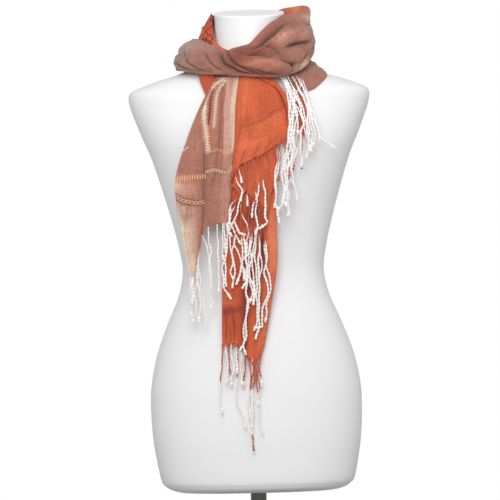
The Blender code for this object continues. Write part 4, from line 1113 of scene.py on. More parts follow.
def yarn_material(name):
    """Twisted yarn: dyes from the strand, with a faint fuzz."""
    material, group, shader = new_material(
        name, Roughness=0.8, Sheen_Weight=0.25, Specular_IOR_Level=0.25
    )
    tint = add_node(group, "ShaderNodeAttribute", attribute_name="tint")
    place = add_node(group, "ShaderNodeTexCoord", out="Object")
    shade, fuzz = tint_shade(group, place, UNSTRETCHED, 900.0, 3, 0.92, 1.08)
    group.links.new(multiply(group, tint, shade), shader["Base Color"])
    add_bump(group, shader, 0.5, 0.0003, fuzz)
    return material


def form_material(name, base, roughness):
    """Moulded white shell: a faint unevenness in its gloss and its surface."""
    material, group, shader = new_material(name, base, Roughness=roughness, Specular_IOR_Level=0.4)
    place = add_node(group, "ShaderNodeTexCoord", out="Object")
    gloss, noise = tint_shade(group, place, UNSTRETCHED, 18.0, 4, roughness - 0.05, roughness + 0.07)
    group.links.new(gloss, shader["Roughness"])
    cloudy, _ = tint_shade(group, place, UNSTRETCHED, 7.0, 3, 0.985, 1.0)
    paint = add_node(group, "ShaderNodeRGB")
    paint.default_value = (*base, 1.0)
    group.links.new(multiply(group, paint, cloudy), shader["Base Color"])
    add_bump(group, shader, 0.06, 0.002, noise)
    return material


def steel_material(name):
    """Polished steel with fine drawn lines."""
    material, group, shader = new_material(name, (0.13, 0.13, 0.12), Roughness=0.2, Metallic=1.0)
    place = add_node(group, "ShaderNodeTexCoord", out="Object")
    gloss, lines = tint_shade(group, place, (40, 40, 900), 1.0, 3, 0.14, 0.30)
    group.links.new(gloss, shader["Roughness"])
    add_bump(group, shader, 0.08, 0.0003, lines)
    return material


# The form and the stand

def bust_swell(x, height):
    away = (np.abs(x) - BUST_APART) ** 2 + (height - BUST_HEIGHT) ** 2
    return BUST_PROUD * np.exp(-away / (2 * BUST_RADIUS**2))


def form_loops(rings, places):
    """Points of the torso's rings at smooth places between the table's rows."""
    table = np.array([tuple(ring) for ring in rings])
    table = curve_weights(len(table), places) @ table
    turn = np.linspace(0, 2 * math.pi, FORM_SIDES, endpoint=False)
    power = 2 / FORM_ROUNDNESS
    cosine, sine = np.cos(turn), np.sin(turn)
    loops = []
    for height, half_width, front, back, tilt in table:
        x = np.sign(cosine) * np.abs(cosine) ** power * half_width
        aside = NECK_ASIDE * np.clip((height - NECK_FOOT) / NECK_RISE, 0, 1)
        y = np.sign(sine) * np.abs(sine) ** power * np.where(sine > 0, back, -front)
        y = y - np.where(sine < 0, bust_swell(x, height) * np.abs(sine), 0)
        loops.append(np.stack([x + aside, y, height + tilt * (y - NECK_DEPTH_AXIS)], axis=-1))
    return np.array(loops)


def add_lofted(name, loops, material):
    """A closed solid through loops from bottom to top, its ends closed round a middle point."""
    rows, sides = loops.shape[:2]
    verts = np.concatenate([loops.reshape(-1, 3), loops[:1].mean(axis=1), loops[-1:].mean(axis=1)])
    low, high, top = rows * sides, rows * sides + 1, (rows - 1) * sides
    faces = []
    for start in range(0, top, sides):
        for k in range(sides):
            beside = start + (k + 1) % sides
            faces.append((start + k, beside, beside + sides, start + k + sides))
    for k in range(sides):
        beside = (k + 1) % sides
        faces.append((low, beside, k))
        faces.append((high, top + k, top + beside))
    thing = add_object(name, verts, faces, material)
    thing.data.set_sharp_from_angle(angle=math.radians(SHARP_ANGLE))
    return thing


def shrunk(loop, inset):
    """A loop drawn in towards its middle."""
    middle = loop.mean(axis=0)
    away = loop - middle
    return middle + away * (1 - inset / np.linalg.norm(away[:, :2], axis=1))[:, None]


def make_form(material):
    rings = RING_STEPS * (len(FORM_RINGS) - 1) + 1
    return add_lofted("display_torso", form_loops(FORM_RINGS, np.linspace(0, 1, rings)), material)


def make_cap(material):
    """The neck's cap: a shallow dish with a rounded rim."""
    rim = form_loops(FORM_RINGS[-2:], [1.0])[0]
    loops = [shrunk(rim, inset) + (0, 0, CAP_GAP + rise) for rise, inset in CAP_LEVELS]
    return add_lofted("display_neck_cap", np.array(loops), material)


def turned(name, profile, sides, material):
    turn = np.linspace(0, 2 * math.pi, sides, endpoint=False)
    loops = [np.stack([r * np.cos(turn), r * np.sin(turn), np.full(sides, z)], axis=-1) for r, z in profile]
    return add_lofted(name, np.array(loops), material)


def rounded(profile, radius):
    """A profile with its inner corners rounded."""
    points = [np.array(profile[0], float)]
    for before, here, after in zip(profile, profile[1:], profile[2:]):
        before, here, after = (np.array(p, float) for p in (before, here, after))
        reach = min(radius, np.linalg.norm(before - here) / 2, np.linalg.norm(after - here) / 2)
        start, end = here + unit(before - here) * reach, here + unit(after - here) * reach
        for part in (0.0, 0.2, 0.4, 0.6, 0.8, 1.0):
            points.append((1 - part) ** 2 * start + 2 * part * (1 - part) * here + part**2 * end)
    points.append(np.array(profile[-1], float))
    return points


def make_stand(material):
    base = [
        (BASE_RADIUS - BASE_INSET, 0.0),
        (BASE_RADIUS, 0.0),
        (BASE_RADIUS, BASE_THICKNESS),
        (HUB_RADIUS, BASE_THICKNESS),
        (HUB_RADIUS, HUB_HEIGHT),
        (POLE_RADIUS + 1, HUB_HEIGHT),
    ]
    pole = [(POLE_RADIUS, HUB_HEIGHT + POLE_GAP), (POLE_RADIUS, FORM_BOTTOM - POLE_GAP)]
    return (
        turned("display_base", rounded(base, BASE_ROUNDING), BASE_SIDES, material),
        turned("display_pole", pole, POLE_SIDES, material),
    )


# The cloth

def make_band(material):
    """The loop of cloth round the neck, in one piece."""
    stations = neck_stations(LOOP_SECTIONS)
    before, after = stations[-2] - (360, 0, 0), stations[1] + (360, 0, 0)
    stations = np.concatenate([before[None], stations, after[None]])
    spans = len(stations) - 1
    steps = np.linspace(0, 1, BAND_CELLS[0] + 1)
    across = np.interp(steps, (0, *BAND_DENSE[0], 1), (1, *BAND_DENSE[1], spans - 1)) / spans
    angle, place, points = neck_net(stations, across, np.linspace(0, 1, BAND_CELLS[1] + 1))
    normals = net_normals(points, closed=True)
    pressed, groove = press(BAND_CREASES + BAND_RIDGES, angle, place, BAND_LENGTHS)
    degree, width = BAND_LENGTHS
    seamless = np.clip(np.sin(np.pi * (angle - SEAM_ANGLE) / 360), 0, 1) ** 0.5
    relief = seamless * soft_waves(angle * degree, place * width, BAND_WAVES) - pressed
    edge = np.minimum(place / EDGE_SHARES[0], 1) * np.minimum((1 - place) / EDGE_SHARES[1], 1)
    points = points + normals * (relief * (EDGE_RELIEF + (1 - EDGE_RELIEF) * edge))[..., None]
    outer = tone(all_over("mauve", place.shape), BAND_TONES, angle, place)
    lining = tone(all_over("lining orange", place.shape), LINING_TONES, angle, place)
    lined = soft_step(LINING_PLACE[0] - place, LINING_PLACE[1])
    lined = lined * soft_step(angle - LINING_ANGLE[0], LINING_ANGLE[1])
    outer = outer + (lining - outer) * lined[..., None]
    # Painted shade darkens the band's grooves and hollows.
    outer = outer * painted_crease_shade(pressed, groove)
    inner = tone(all_over("grey mauve", place.shape), INNER_TONES, angle, place)
    return add_cloth("band", points, material, outer, inner, BAND_SIZE, closed=True)


def make_collar(material):
    across, down = (np.linspace(0, 1, count) for count in COLLAR_POINTS)
    angle, place, points = neck_net(neck_stations(COLLAR_SECTIONS), across, down)
    degree, width = COLLAR_LENGTHS
    relief = soft_waves(angle * degree, place * width, COLLAR_WAVES)
    relief -= press(COLLAR_CREASES, angle, place, COLLAR_LENGTHS)[0]
    points = points + net_normals(points) * relief[..., None]
    # Painted light: the collar's front is lightened towards peach against the band's shadow.
    share = PAINTED_LIGHT_STRENGTH * soft_step(angle - PAINTED_LIGHT_ANGLE[0], PAINTED_LIGHT_ANGLE[1])
    plain = blend(all_over("orange", place.shape), "peach painted light", share)
    return add_cloth("collar", points, material, plain, plain, COLLAR_SIZE)


def make_shoulder(material):
    stations = []
    for row in SHOULDER_SECTIONS:
        top = around(row.angle, row.radius, row.top)
        middle = off_form(row.angle, row.middle, row.middle_lift)
        stations.append([top, middle, off_form(row.angle, row.low, row.low_lift)])
    across, down = (np.linspace(0, 1, count) for count in SHOULDER_POINTS)
    points = net_points(stations, across, down)
    angle = np.degrees(np.arctan2(points[..., 0], NECK_DEPTH_AXIS - points[..., 1])) % 360
    place = np.broadcast_to(down, angle.shape)
    degree, width = SHOULDER_LENGTHS
    relief = soft_waves(angle * degree, place * width, SHOULDER_WAVES)
    relief -= press(SHOULDER_CREASES, angle, place, SHOULDER_LENGTHS)[0]
    relief = np.maximum(relief, SHOULDER_DEEPEST)
    points = points + net_normals(points) * relief[..., None]
    plain = all_over("mauve", place.shape)
    return add_cloth("shoulder_layer", points, material, plain, plain, SHOULDER_SIZE)


def off_form(angle, height, lift):
    """A point that lies off the torso by lift, square to its surface."""
    here, beside, higher = (
        around(way, form_radius(way, level), level)
        for way, level in ((angle, height), (angle + 2, height), (angle, height + 2))
    )
    return here + unit(np.cross(beside - here, higher - here)) * lift


def form_radius(angle, height):
    """Distance from the neck's axis to the torso at one angle and height."""
    heights = [ring.height for ring in FORM_RINGS]
    half_width = np.interp(height, heights, [ring.half_width for ring in FORM_RINGS])
    front = -np.interp(height, heights, [ring.front for ring in FORM_RINGS])
    back = np.interp(height, heights, [ring.back for ring in FORM_RINGS])
    inside, outside = 0.0, FORM_REACH
    while outside - inside > FORM_PRECISION:
        radius = (inside + outside) / 2
        x, y, _ = around(angle, radius, height)
        reach = back if y > 0 else front + bust_swell(x, height)
        size = (abs(x) / half_width) ** FORM_ROUNDNESS + (abs(y) / reach) ** FORM_ROUNDNESS
        inside, outside = (radius, outside) if size < 1 else (inside, radius)
    return outside


def end_points(end):
    """Points of a hanging end with its fold number and way down."""
    stations = []
    for fold in end.folds:
        places = [(x, hang_depth(x, height, end.layer, forward), height) for x, height, forward in fold[1:]]
        stations.append(places)
    across, down = (np.linspace(0, 1, cells + 1) for cells in end.cells)
    fold, way = np.meshgrid(across * (len(end.folds) - 1), down, indexing="ij")
    return net_points(stations, across, down), fold, way


def make_end(name, end, material, paint):
    """A hanging end of cloth, and the grid of points that its fringe and stitches grow from."""
    points, fold, way = end_points(end)
    pitch, length = end_lengths(end)
    pressed, groove = press(end.creases, fold, way, (pitch, length))
    waves = soft_waves(way * length, fold * pitch, [Waves(1.0, 160, 16, end.seed, 0.05)])
    waves += soft_waves(fold * pitch, way * length, [Waves(0.35, 40, 12, end.seed + 1)])
    relief = end.waves * waves * np.minimum(way / TOP_REACH + TOP_SHARE, 1) - pressed
    relief = np.maximum(relief, end.deepest)
    points = points + net_normals(points) * relief[..., None]
    outer, inner = paint(fold, way)
    # Painted shade darkens the end's grooves and hollows.
    outer = outer * painted_crease_shade(END_SHADE * pressed, groove)
    piece = add_cloth(name + "_cloth", points, material, outer, inner, (end.width, end.length))
    return piece, points


def paint_front(fold, way):
    end = ENDS["front_end"]
    colour = tone(all_over("panel mauve", fold.shape), LEFT_TONES, fold, way)
    colour = paint_stripes_and_edge_shade(colour, FRONT_STRIPES[:-1], fold, way)
    colour = paint_lines(colour, FRONT_LINES, end, fold, way)
    orange = tone(all_over("orange", fold.shape), FRONT_TONES, fold, way)
    orange = paint_lines(orange, ORANGE_LINES, end, fold, way)
    edge = np.interp(way, STRIPE_WAYS, FRONT_STRIPES[-1].left)
    share = soft_step(fold - edge, ORANGE_SOFTNESS)[..., None]
    colour = colour * (1 - share) + orange * share
    # The inside is a darker copy of the outside: painted shade.
    return colour, colour * INSIDE_SHADE


def paint_orange(name, tones, lines=()):
    def paint(fold, way):
        colour = tone(all_over("orange", fold.shape), tones, fold, way)
        colour = paint_lines(colour, lines, ENDS[name], fold, way)
        return colour, colour

    return paint


# One row for each hanging end: its folds, its layer over the form, its cells across and down, its
# width and length, its creases, how deep its soft waves are, how deep it may sink, and their seed.
End = namedtuple("End", "folds layer cells width length creases waves deepest seed")
ENDS = {
    "front_end": End(FRONT_FOLDS, 2.3, (150, 190), 190, 270, FRONT_CREASES, 0.55, -2.2, 21),
    "middle_end": End(MIDDLE_FOLDS, 1.35, (72, 90), 74, 120, MIDDLE_CREASES, 0.3, -1.0, 31),
    "long_end": End(LONG_FOLDS, 0.0, (76, 260), 80, 380, LONG_CREASES, 0.4, -3.0, 41),
    "side_end": End(SIDE_FOLDS, 0.0, (24, 56), 22, 72, SIDE_CREASES, 0.2, -0.6, 51),
    "tuck_left": End(TUCK_FOLDS, 0.0, (24, 30), 22, 30, TUCK_CREASES, 0.2, -0.8, 61),
}


# The fringe

# A strand's points lie a step apart. Its root reaches a little up the cloth, and a route that
# starts further than this below the hem is led up to it.
STRAND_STEP = 2.0
FEWEST_POINTS = 8
ROOT_OVERLAP = 1.0
ROOT_REACH = 8
# How much height counts against x in finding the nearest place on the hem
HEIGHT_WEIGHT = 0.3
# Over how much of its length a strand starts to ripple, and leaves the hem's depth for its own
RIPPLE_START = 15
SETTLE_LENGTH = 14
# Strands take turns in depth and girth by steps of the golden section, which spread evenly.
GOLDEN = 0.618
DEPTH_SPREAD = 2.6
GIRTH_LEAST = 0.74
GIRTH_SPREAD = 0.38
GIRTH_TURN = 0.3
DYE_SOFTNESS = 9.0
# A strand is slim where it is dyed and at least this far down, and fills out over this length.
SLIM_LENGTH = 20
FILL_LENGTH = 44
# Fine threads gather into a dyed strand from both sides of its root.
GATHER_LENGTH = 9
GATHER_ASIDE = 2.0
GATHER_OVERLAP = 0.8
GATHER_POINTS = 7
GATHER_GIRTH = 0.42

# Waves along a strand: their size, their length for each radian, and how far their phase moves
# on from one strand to the next
Swing = namedtuple("Swing", "size wave phase")
ASIDE = Swing(0.5, 4.6, 1.7)
FORWARD = Swing(0.7, 9, 1.0)
BUMPS = Swing(0.08, 3.1, 2.3)
SWELLS = Swing(0.12, 7.7, 1.0)

# A path's way runs from 0 up to its last way, and a knot is tied where that is 1.
Path = namedtuple("Path", "points colour girth last_way")


def swing(row, run, number):
    return row.size * np.sin(run / row.wave + row.phase * number)


def gathered(hem, root, foot):
    """Two fine threads from either side of a root to a point on its strand."""
    part = np.linspace(0, 1, GATHER_POINTS)[:, None]
    colour, girth = all_over("deep orange", (GATHER_POINTS,)), np.full(GATHER_POINTS, GATHER_GIRTH)
    paths = []
    for shift in (-GATHER_ASIDE, GATHER_ASIDE):
        start = hem[np.abs(hem[:, 0] - root[0] - shift).argmin()] + (0, 0, GATHER_OVERLAP)
        paths.append(Path(start * (1 - part) + foot * part, colour, girth, 0.5))
    return paths


def strand_paths(strands, hem, stand_off, slim):
    """Each strand's path from a root just inside the hem, and the threads that gather into it."""
    paths = []
    for number, (dyed, route) in enumerate(strands):
        route = np.array(route, float)
        away = np.hypot(hem[:, 0] - route[0, 0], HEIGHT_WEIGHT * (hem[:, 2] - route[0, 1]))
        root = hem[away.argmin()]
        if root[2] - route[0, 1] > ROOT_REACH:
            route = np.concatenate([[(root[0], root[2])], route])
        route[0] = root[0], root[2] + ROOT_OVERLAP
        count = max(int(travelled(route)[-1] / STRAND_STEP), FEWEST_POINTS)
        flat = curve_weights(len(route), np.linspace(0, 1, count)) @ route
        run = travelled(flat)
        ripple = np.minimum(run / RIPPLE_START, 1)
        x, height = flat[:, 0] + ripple * swing(ASIDE, run, number), flat[:, 1]
        lift = stand_off + DEPTH_SPREAD * (number * GOLDEN % 1) + ripple * swing(FORWARD, run, number)
        settled = np.minimum(run / SETTLE_LENGTH, 1)
        y = root[1] * (1 - settled) + hang_depth(x, height, 0, lift) * settled
        points = np.stack([x, y, height], axis=-1)
        past_dye = run - dyed if dyed >= 0 else run[-1] + dyed - run
        white = soft_step(past_dye, DYE_SOFTNESS) if dyed else np.ones(count)
        colour = blend(all_over("root orange", run.shape), "white", white)
        girth = slim + (1 - slim) * soft_step(run - max(dyed, SLIM_LENGTH), FILL_LENGTH)
        girth = (girth + swing(BUMPS, run, number)) * (1 + swing(SWELLS, run, number))
        girth *= GIRTH_LEAST + GIRTH_SPREAD * ((number * GOLDEN + GIRTH_TURN) % 1)
        paths.append(Path(points, colour, girth, 1.0))
        if dyed > 0:
            foot = min(int(GATHER_LENGTH / STRAND_STEP) + 1, count - 1)
            paths += gathered(hem, root, points[foot])
    return paths


# Knots and tufts vary in size between these shares. The radii are a tuft's two ends, in metres.
KNOT_SIZES = (0.75, 1.15)
TUFT_RADII = (0.0021, 0.0010)
# Stitches turn, and vary in length, at random between these values.
STITCH_JITTER = (-0.06, 0.06)
STITCH_SIZES = (0.72, 1.15)


class Tree:
    """A Geometry Nodes group under construction."""

    def __init__(self, name, numbers, counts):
        self.group = bpy.data.node_groups.new(name, "GeometryNodeTree")
        sockets = self.group.interface
        sockets.new_socket("Geometry", in_out="INPUT", socket_type="NodeSocketGeometry")
        self.inputs = {}
        for kind, values in (("NodeSocketFloat", numbers), ("NodeSocketInt", counts)):
            for label, value in values.items():
                socket = sockets.new_socket(label, in_out="INPUT", socket_type=kind)
                socket.default_value = value
                self.inputs[label] = socket.identifier
        sockets.new_socket("Geometry", in_out="OUTPUT", socket_type="NodeSocketGeometry")
        self.given = self.group.nodes.new("NodeGroupInput").outputs
        self.result = self.group.nodes.new("NodeGroupOutput").inputs

    def add(self, kind, **settings):
        return add_node(self.group, kind, **settings)

    def math(self, operation, *values):
        return add_math(self.group, operation, *values)

    def random(self, low, high):
        seed = self.given["Seed"]
        return self.add("FunctionNodeRandomValue", data_type="FLOAT", Min=low, Max=high, Seed=seed)

    def join(self, *parts):
        node = self.group.nodes.new("GeometryNodeJoinGeometry")
        for part in parts:
            self.group.links.new(part, node.inputs[0])
        return node.outputs[0]

    def named(self, name, kind):
        return self.add("GeometryNodeInputNamedAttribute", data_type=kind, Name=name)

    def routes(self, spacing):
        """The routes as curves with evenly spaced points."""
        curve = self.add("GeometryNodeMeshToCurve", Mesh=self.given["Geometry"])
        length = self.given[spacing]
        return self.add("GeometryNodeResampleCurve", mode="LENGTH", Curve=curve, Length=length)

    def finish(self, geometry, material):
        real = self.add("GeometryNodeRealizeInstances", Geometry=geometry)
        smooth = self.add("GeometryNodeSetShadeSmooth", Geometry=real)
        done = self.add("GeometryNodeSetMaterial", Geometry=smooth, Material=material)
        self.group.links.new(done, self.result[0])
        return self


def yarn_tree(material):
    """Routes become two-ply twisted strands that end in a knot and a tuft."""
    numbers = {
        "Ply radius": 0.00116,
        "Ply offset": 0.00064,
        "Step": 0.0016,
        "Turn length": 0.0125,
        "Knot radius": 0.0024,
        "Tuft length": 0.0062,
    }
    tree = Tree("two-ply strands", numbers, {"Seed": 7})
    given = tree.given
    even = tree.routes("Step")
    passed = tree.add("GeometryNodeSplineParameter", out="Length")
    turns = tree.math("DIVIDE", passed, given["Turn length"])
    twisted = tree.add("GeometryNodeSetCurveTilt", Curve=even, Tilt=tree.math("MULTIPLY", turns, 2 * math.pi))
    circle = tree.add("GeometryNodeCurvePrimitiveCircle", Resolution=6, Radius=given["Ply radius"])
    right = tree.add("ShaderNodeCombineXYZ", X=given["Ply offset"])
    left = tree.add("ShaderNodeVectorMath", operation="SCALE", Vector=right, Scale=-1.0)
    plies = tree.join(
        tree.add("GeometryNodeTransform", Geometry=circle, Translation=right),
        tree.add("GeometryNodeTransform", Geometry=circle, Translation=left),
    )
    girth = tree.named("girth", "FLOAT")
    strands = tree.add(
        "GeometryNodeCurveToMesh", Curve=twisted, Profile_Curve=plies, Scale=girth, Fill_Caps=True
    )
    at_tip = tree.math("GREATER_THAN", tree.named("way", "FLOAT"), 0.9999)
    aim = tree.named("aim", "FLOAT_VECTOR")
    turned_way = tree.add("FunctionNodeAlignRotationToVector", axis="Z", Vector=aim)
    size = tree.random(*KNOT_SIZES)
    ball = tree.add("GeometryNodeMeshIcoSphere", Radius=given["Knot radius"], Subdivisions=2)
    tuft = tree.add(
        "GeometryNodeMeshCone",
        Vertices=7,
        Radius_Top=TUFT_RADII[0],
        Radius_Bottom=TUFT_RADII[1],
        Depth=given["Tuft length"],
    )
    knots, tufts = (
        tree.add(
            "GeometryNodeInstanceOnPoints", Points=even, Selection=at_tip, Instance=shape, Rotation=turned_way
        )
        for shape in (ball, tuft)
    )
    varied = tree.add("GeometryNodeScaleInstances", Instances=tree.join(knots, tufts), Scale=size)
    return tree.finish(tree.join(strands, varied), material)


def stitch_tree(material):
    """Routes become a row of stitches, every other one leaning the other way."""
    numbers = {"Pitch": 0.003, "Length": 0.003, "Width": 0.001, "Height": 0.0007, "Turn": 0.0, "Lean": 0.3}
    tree = Tree("stitches", numbers, {"Seed": 11})
    given = tree.given
    even = tree.routes("Pitch")
    odd = tree.math("MODULO", tree.add("GeometryNodeInputIndex"), 2.0)
    side = tree.math("MULTIPLY_ADD", odd, 2.0, -1.0)
    lean = tree.math("MULTIPLY_ADD", side, given["Lean"], given["Turn"])
    jitter = tree.random(*STITCH_JITTER)
    length = tree.math("MULTIPLY", tree.random(*STITCH_SIZES), given["Length"])
    axes = tree.add(
        "FunctionNodeAxesToRotation",
        primary_axis="Z",
        secondary_axis="X",
        Primary_Axis=tree.named("out", "FLOAT_VECTOR"),
        Secondary_Axis=tree.named("aim", "FLOAT_VECTOR"),
    )
    about = tree.add("ShaderNodeCombineXYZ", Z=tree.math("ADD", lean, jitter))
    spin = tree.add("FunctionNodeEulerToRotation", Euler=about)
    leant = tree.add("FunctionNodeRotateRotation", rotation_space="LOCAL", Rotation=axes, Rotate_By=spin)
    size = tree.add("ShaderNodeCombineXYZ", X=length, Y=given["Width"], Z=given["Height"])
    grain = tree.add("GeometryNodeMeshUVSphere", Segments=8, Rings=5, Radius=0.5)
    row = tree.add("GeometryNodeInstanceOnPoints", Points=even, Instance=grain, Rotation=leant, Scale=size)
    return tree.finish(row, material)


def run_tree(name, tree, paths, values, material, outs=None):
    """A plain mesh that the tree makes from routes."""
    points = np.concatenate([path.points for path in paths])
    edges, first = [], 0
    for path in paths:
        edges += [(first + k, first + k + 1) for k in range(len(path.points) - 1)]
        first += len(path.points)
    mesh = bpy.data.meshes.new(name)
    mesh.from_pydata([tuple(p) for p in points * MM], edges, [])
    colours = np.concatenate([path.colour for path in paths])
    ways = [np.linspace(0, path.last_way, len(path.points)) for path in paths]
    if outs is None:
        outs = np.tile((0.0, -1.0, 0.0), (len(points), 1))
    for label, kind, slot, rows in [
        ("tint", "FLOAT_COLOR", "color", np.concatenate([colours, np.ones((len(points), 1))], axis=1)),
        ("aim", "FLOAT_VECTOR", "vector", [unit(np.gradient(path.points, axis=0)) for path in paths]),
        ("out", "FLOAT_VECTOR", "vector", outs),
        ("girth", "FLOAT", "value", [path.girth for path in paths]),
        ("way", "FLOAT", "value", ways),
    ]:
        flat = np.concatenate([np.ravel(row) for row in rows])
        mesh.attributes.new(label, kind, "POINT").data.foreach_set(slot, flat)
    raw = add_to_scene(name, mesh)
    modifier = raw.modifiers.new("made by nodes", "NODES")
    modifier.node_group = tree.group
    for label, value in values.items():
        modifier[tree.inputs[label]] = value
    bpy.context.view_layer.update()
    made = bpy.data.meshes.new_from_object(raw.evaluated_get(bpy.context.evaluated_depsgraph_get()))
    bpy.data.objects.remove(raw)
    bpy.data.meshes.remove(mesh)
    made.name = name
    made.materials.clear()
    made.materials.append(material)
    return add_to_scene(name, made)


# One row for each bundle of strands: its strands, the cloth that they grow from, how far they
# stand off the form, and how slim they are near the root.
Fringe = namedtuple("Fringe", "strands end stand_off slim")
FRINGES = {
    "fringe_corner": Fringe(CORNER_STRANDS, "front_end", 9.0, 0.6),
    "fringe_front": Fringe(FRONT_STRANDS, "front_end", 14.0, 0.46),
    "fringe_middle": Fringe(MIDDLE_STRANDS, "middle_end", 9.5, 0.46),
    "fringe_long_left": Fringe(LONG_LEFT_STRANDS, "long_end", 5.0, 0.85),
    "fringe_long_right": Fringe(LONG_RIGHT_STRANDS, "long_end", 5.0, 0.85),
    "fringe_side": Fringe(SIDE_STRANDS, "band", 15.5, 0.36),
}
# The side strands grow from under the band, at these angles, radius and height.
SIDE_ROOT_ANGLES = np.arange(20.0, 57.0, 0.5)
SIDE_ROOT_RADIUS = 99.0
SIDE_ROOT_HEIGHT = 773.0

# Rows of stitching on the front end: each with its dye, how far apart its stitches lie, their
# size, how far they turn from the row's direction and lean to either side, how far the row
# swings to either side and over what length, from which phase, and its route.
Stitching = namedtuple("Stitching", "name dye pitch length width turn lean swing wave phase route")
ACROSS = math.pi / 2
STITCH_HEIGHT = 0.8
STITCH_LIFT = 0.15
STITCHINGS = [
    Stitching("column_top", "ivory", 2.1, 10.5, 1.1, ACROSS, 0.35, 0, 1, 0, COLUMN_LEFT[:5]),
    Stitching("column_foot", "ivory", 2.2, 14.0, 1.1, ACROSS, 0.45, 0, 1, 0, COLUMN_LEFT[3:]),
    Stitching("column_specks", "light peach", 4.6, 5.0, 1.8, ACROSS, 0.5, 1.5, 17, 0, COLUMN_LEFT[2:]),
    Stitching("column_right", "ivory", 2.3, 9.5, 1.0, ACROSS, 0.5, 0, 1, 0, COLUMN_RIGHT),
    Stitching("slit", "dark red", 1.6, 2.2, 1.0, 0.3, 0.2, 0, 1, 0, SLIT),
    Stitching("dashes_left", "light peach", 3.9, 9.0, 2.0, ACROSS, 0.03, 0, 1, 0, DASHES_LEFT),
    Stitching("dashes_right", "peach", 3.7, 6.0, 1.4, ACROSS, 0.04, 0, 1, 0, DASHES_RIGHT),
    Stitching("loose_thread", "white", 3.0, 5.5, 1.1, 0.0, 0.2, 0, 1, 0, [(0.05, 0.448), (0.6, 0.425)]),
    Stitching("rope_left_over", "sand", 1.5, 2.6, 0.9, 0.0, 0.1, 2.5, 13, 0.0, ROPE_LEFT),
    Stitching("rope_left_under", "sand", 1.5, 2.6, 0.8, 0.0, 0.1, 2.5, 13, math.pi, ROPE_LEFT),
    Stitching("rope_right_over", "ivory", 1.5, 2.6, 0.9, 0.0, 0.1, 2.2, 10, 0.0, ROPE_RIGHT),
    Stitching("rope_right_under", "sand", 1.5, 2.6, 0.8, 0.0, 0.1, 2.2, 10, math.pi, ROPE_RIGHT),
]


def on_end(points, end, route):
    """Points and directions out along a route of folds and ways on a hanging end."""
    route = smooth_route(route, 24)
    rows, columns = points.shape[:2]
    u = route[:, 0] / (len(end.folds) - 1) * (rows - 1)
    v = route[:, 1] * (columns - 1)
    i, j = np.clip(u.astype(int), 0, rows - 2), np.clip(v.astype(int), 0, columns - 2)
    a, b = (u - i)[:, None], (v - j)[:, None]

    def mix(grid):
        near = grid[i, j] * (1 - a) + grid[i + 1, j] * a
        far = grid[i, j + 1] * (1 - a) + grid[i + 1, j + 1] * a
        return near * (1 - b) + far * b

    out = unit(mix(net_normals(points)))
    return mix(points) + out * (CLOTH / 2 + STITCH_LIFT), out


def make_stitching(row, points, tree, material):
    route, out = on_end(points, ENDS["front_end"], row.route)
    swung = row.swing * np.sin(2 * math.pi * travelled(route) / row.wave + row.phase)
    route = route + unit(np.cross(out, np.gradient(route, axis=0))) * swung[:, None]
    values = {
        "Pitch": row.pitch * MM,
        "Length": row.length * MM,
        "Width": row.width * MM,
        "Height": STITCH_HEIGHT * MM,
        "Turn": row.turn,
        "Lean": row.lean,
    }
    path = Path(route, all_over(row.dye, (len(route),)), np.ones(len(route)), 1.0)
    return run_tree("stitching_" + row.name, tree, [path], values, material, out)


# Making

cloth = cloth_material("pashmina twill")
figured = figured_material("pashmina twill with curls")
yarn = yarn_material("twisted yarn")
thread = yarn_material("embroidery thread")
shell = form_material("white form shell", (0.86, 0.86, 0.87), 0.34)
# Painted light: the cap's paint is lighter than the shell's to make up for the light that its upward face
# misses.
cap_paint = form_material("neck cap with painted light", (0.92, 0.915, 0.925), 0.5)
steel = steel_material("polished steel")

torso = make_form(shell)
cap = make_cap(cap_paint)
plate, pole = make_stand(steel)
band = make_band(cloth)
collar = make_collar(figured)
shoulder = make_shoulder(cloth)
ends, nets = {}, {}
PAINTS = {
    "front_end": paint_front,
    "middle_end": paint_orange("middle_end", MIDDLE_TONES, MIDDLE_LINES),
    "long_end": paint_orange("long_end", LONG_TONES, LONG_LINES),
    "side_end": paint_orange("side_end", []),
    "tuck_left": paint_orange("tuck_left", [Tone("deep orange", 0.8, 0.5, 3.0, 1.0, 0.5)]),
}
for name, end in ENDS.items():
    ends[name], nets[name] = make_end(name, end, cloth, PAINTS[name])
strand_maker = yarn_tree(yarn)
fringes = {}
for name, fringe in FRINGES.items():
    if fringe.end == "band":
        hem = np.array([around(angle, SIDE_ROOT_RADIUS, SIDE_ROOT_HEIGHT) for angle in SIDE_ROOT_ANGLES])
    else:
        hem = nets[fringe.end][:, -1]
    paths = strand_paths(fringe.strands, hem, fringe.stand_off, fringe.slim)
    fringes[name] = run_tree(name + "_strands", strand_maker, paths, {}, yarn)
stitch_maker = stitch_tree(thread)
stitching = [make_stitching(row, nets["front_end"], stitch_maker, thread) for row in STITCHINGS]

# Which node each piece stands for, and the slot its finish comes from
for piece, slot, nodes in [
    (torso, "form_shell", ["torso_form"]),
    (cap, "form_cap", ["neck_cap"]),
    (plate, "stand_metal", ["stand_base"]),
    (pole, "stand_metal", ["stand_pole"]),
    (band, "rust_cloth", ["wrap_left", "wrap_front", "wrap_right", "wrap_back"]),
    (collar, "orange_cloth", ["collar_left"]),
    (shoulder, "mauve_cloth", ["shoulder_fold"]),
    (ends["front_end"], "orange_cloth", ["front_end"]),
    (ends["middle_end"], "orange_cloth", ["middle_end"]),
    (ends["long_end"], "orange_cloth", ["long_end"]),
    (ends["side_end"], "orange_cloth", ["side_end"]),
    (ends["tuck_left"], "orange_cloth", ["tuck_left"]),
]:
    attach(piece, "root")
    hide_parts(*nodes)
for name, piece in fringes.items():
    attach(piece, "root")
    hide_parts(name)
for piece in stitching:
    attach(piece, "root")


# Floor, lights and camera

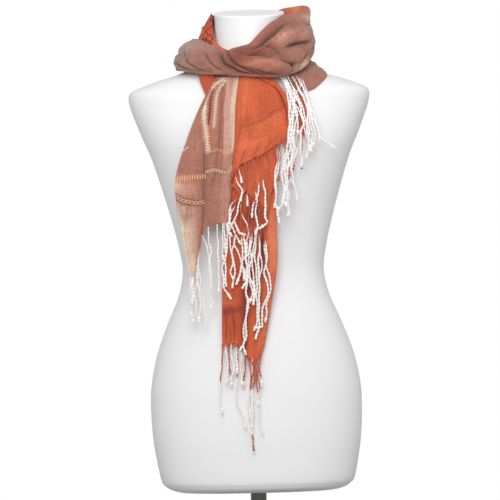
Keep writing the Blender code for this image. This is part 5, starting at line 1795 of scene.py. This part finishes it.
FLOOR_RADII = (900.0, 1500.0)
FLOOR_SIDES = 96
LIGHT_AIM = (0, 0, 0.8)
LIGHT_SIZE = 1.2
# How much of the white surround lights the piece, and how much of it the camera sees
SURROUND = (0.58, 1.0)
# The camera's distance from the form's axis, and what width it sees there, in metres
CAMERA_DISTANCE = 9.0
VIEW_WIDTH = 0.7875
SENSOR_WIDTH = 36.0


def make_floor():
    """A round floor of a disc and a ring about it."""
    material = new_material("pale floor", (0.5, 0.5, 0.5), Roughness=0.7)[0]
    turn = np.linspace(0, 2 * math.pi, FLOOR_SIDES, endpoint=False)
    verts = [(0.0, 0.0, 0.0)]
    verts += [(r * math.cos(t), r * math.sin(t), 0.0) for r in FLOOR_RADII for t in turn]
    sides = [(1 + k, 1 + (k + 1) % FLOOR_SIDES) for k in range(FLOOR_SIDES)]
    faces = [(0, a, b) for a, b in sides]
    faces += [(a, a + FLOOR_SIDES, b + FLOOR_SIDES, b) for a, b in sides]
    return add_object("studio_floor", verts, faces, material)


def add_light(name, place, power):
    light = bpy.data.lights.new(name, "AREA")
    light.energy = power
    light.shape = "RECTANGLE"
    light.size, light.size_y = LIGHT_SIZE, LIGHT_SIZE
    lamp = add_to_scene(name, light)
    lamp.location = place
    lamp.rotation_euler = (Vector(LIGHT_AIM) - Vector(place)).to_track_quat("-Z", "Y").to_euler()


def set_world():
    """A white surround that the camera sees brighter than the piece is lit."""
    world = bpy.data.worlds.new("studio")
    world.use_nodes = True
    group = world.node_tree
    seen = add_node(group, "ShaderNodeLightPath", out="Is Camera Ray")
    background = group.nodes["Background"].inputs
    group.links.new(map_range(group, seen, (0.0, 1.0), SURROUND), background["Strength"])
    background["Color"].default_value = (1.0, 1.0, 1.0, 1.0)
    bpy.context.scene.world = world


floor = make_floor()
add_light("front", (-0.2, -3.0, 1.6), 38.0)
add_light("high", (0.2, -1.6, 2.2), 13.0)
set_world()
bpy.context.scene.view_settings.view_transform = "Standard"

lens = bpy.data.cameras.new("camera")
lens.sensor_width = SENSOR_WIDTH
lens.lens = SENSOR_WIDTH * CAMERA_DISTANCE / VIEW_WIDTH
lens.clip_end = 100.0
camera = add_to_scene("camera", lens)
camera.location = (-0.00425, -CAMERA_DISTANCE, 0.5007)
camera.rotation_euler = (math.radians(90), math.radians(1.4), 0.0)
bpy.context.scene.camera = camera
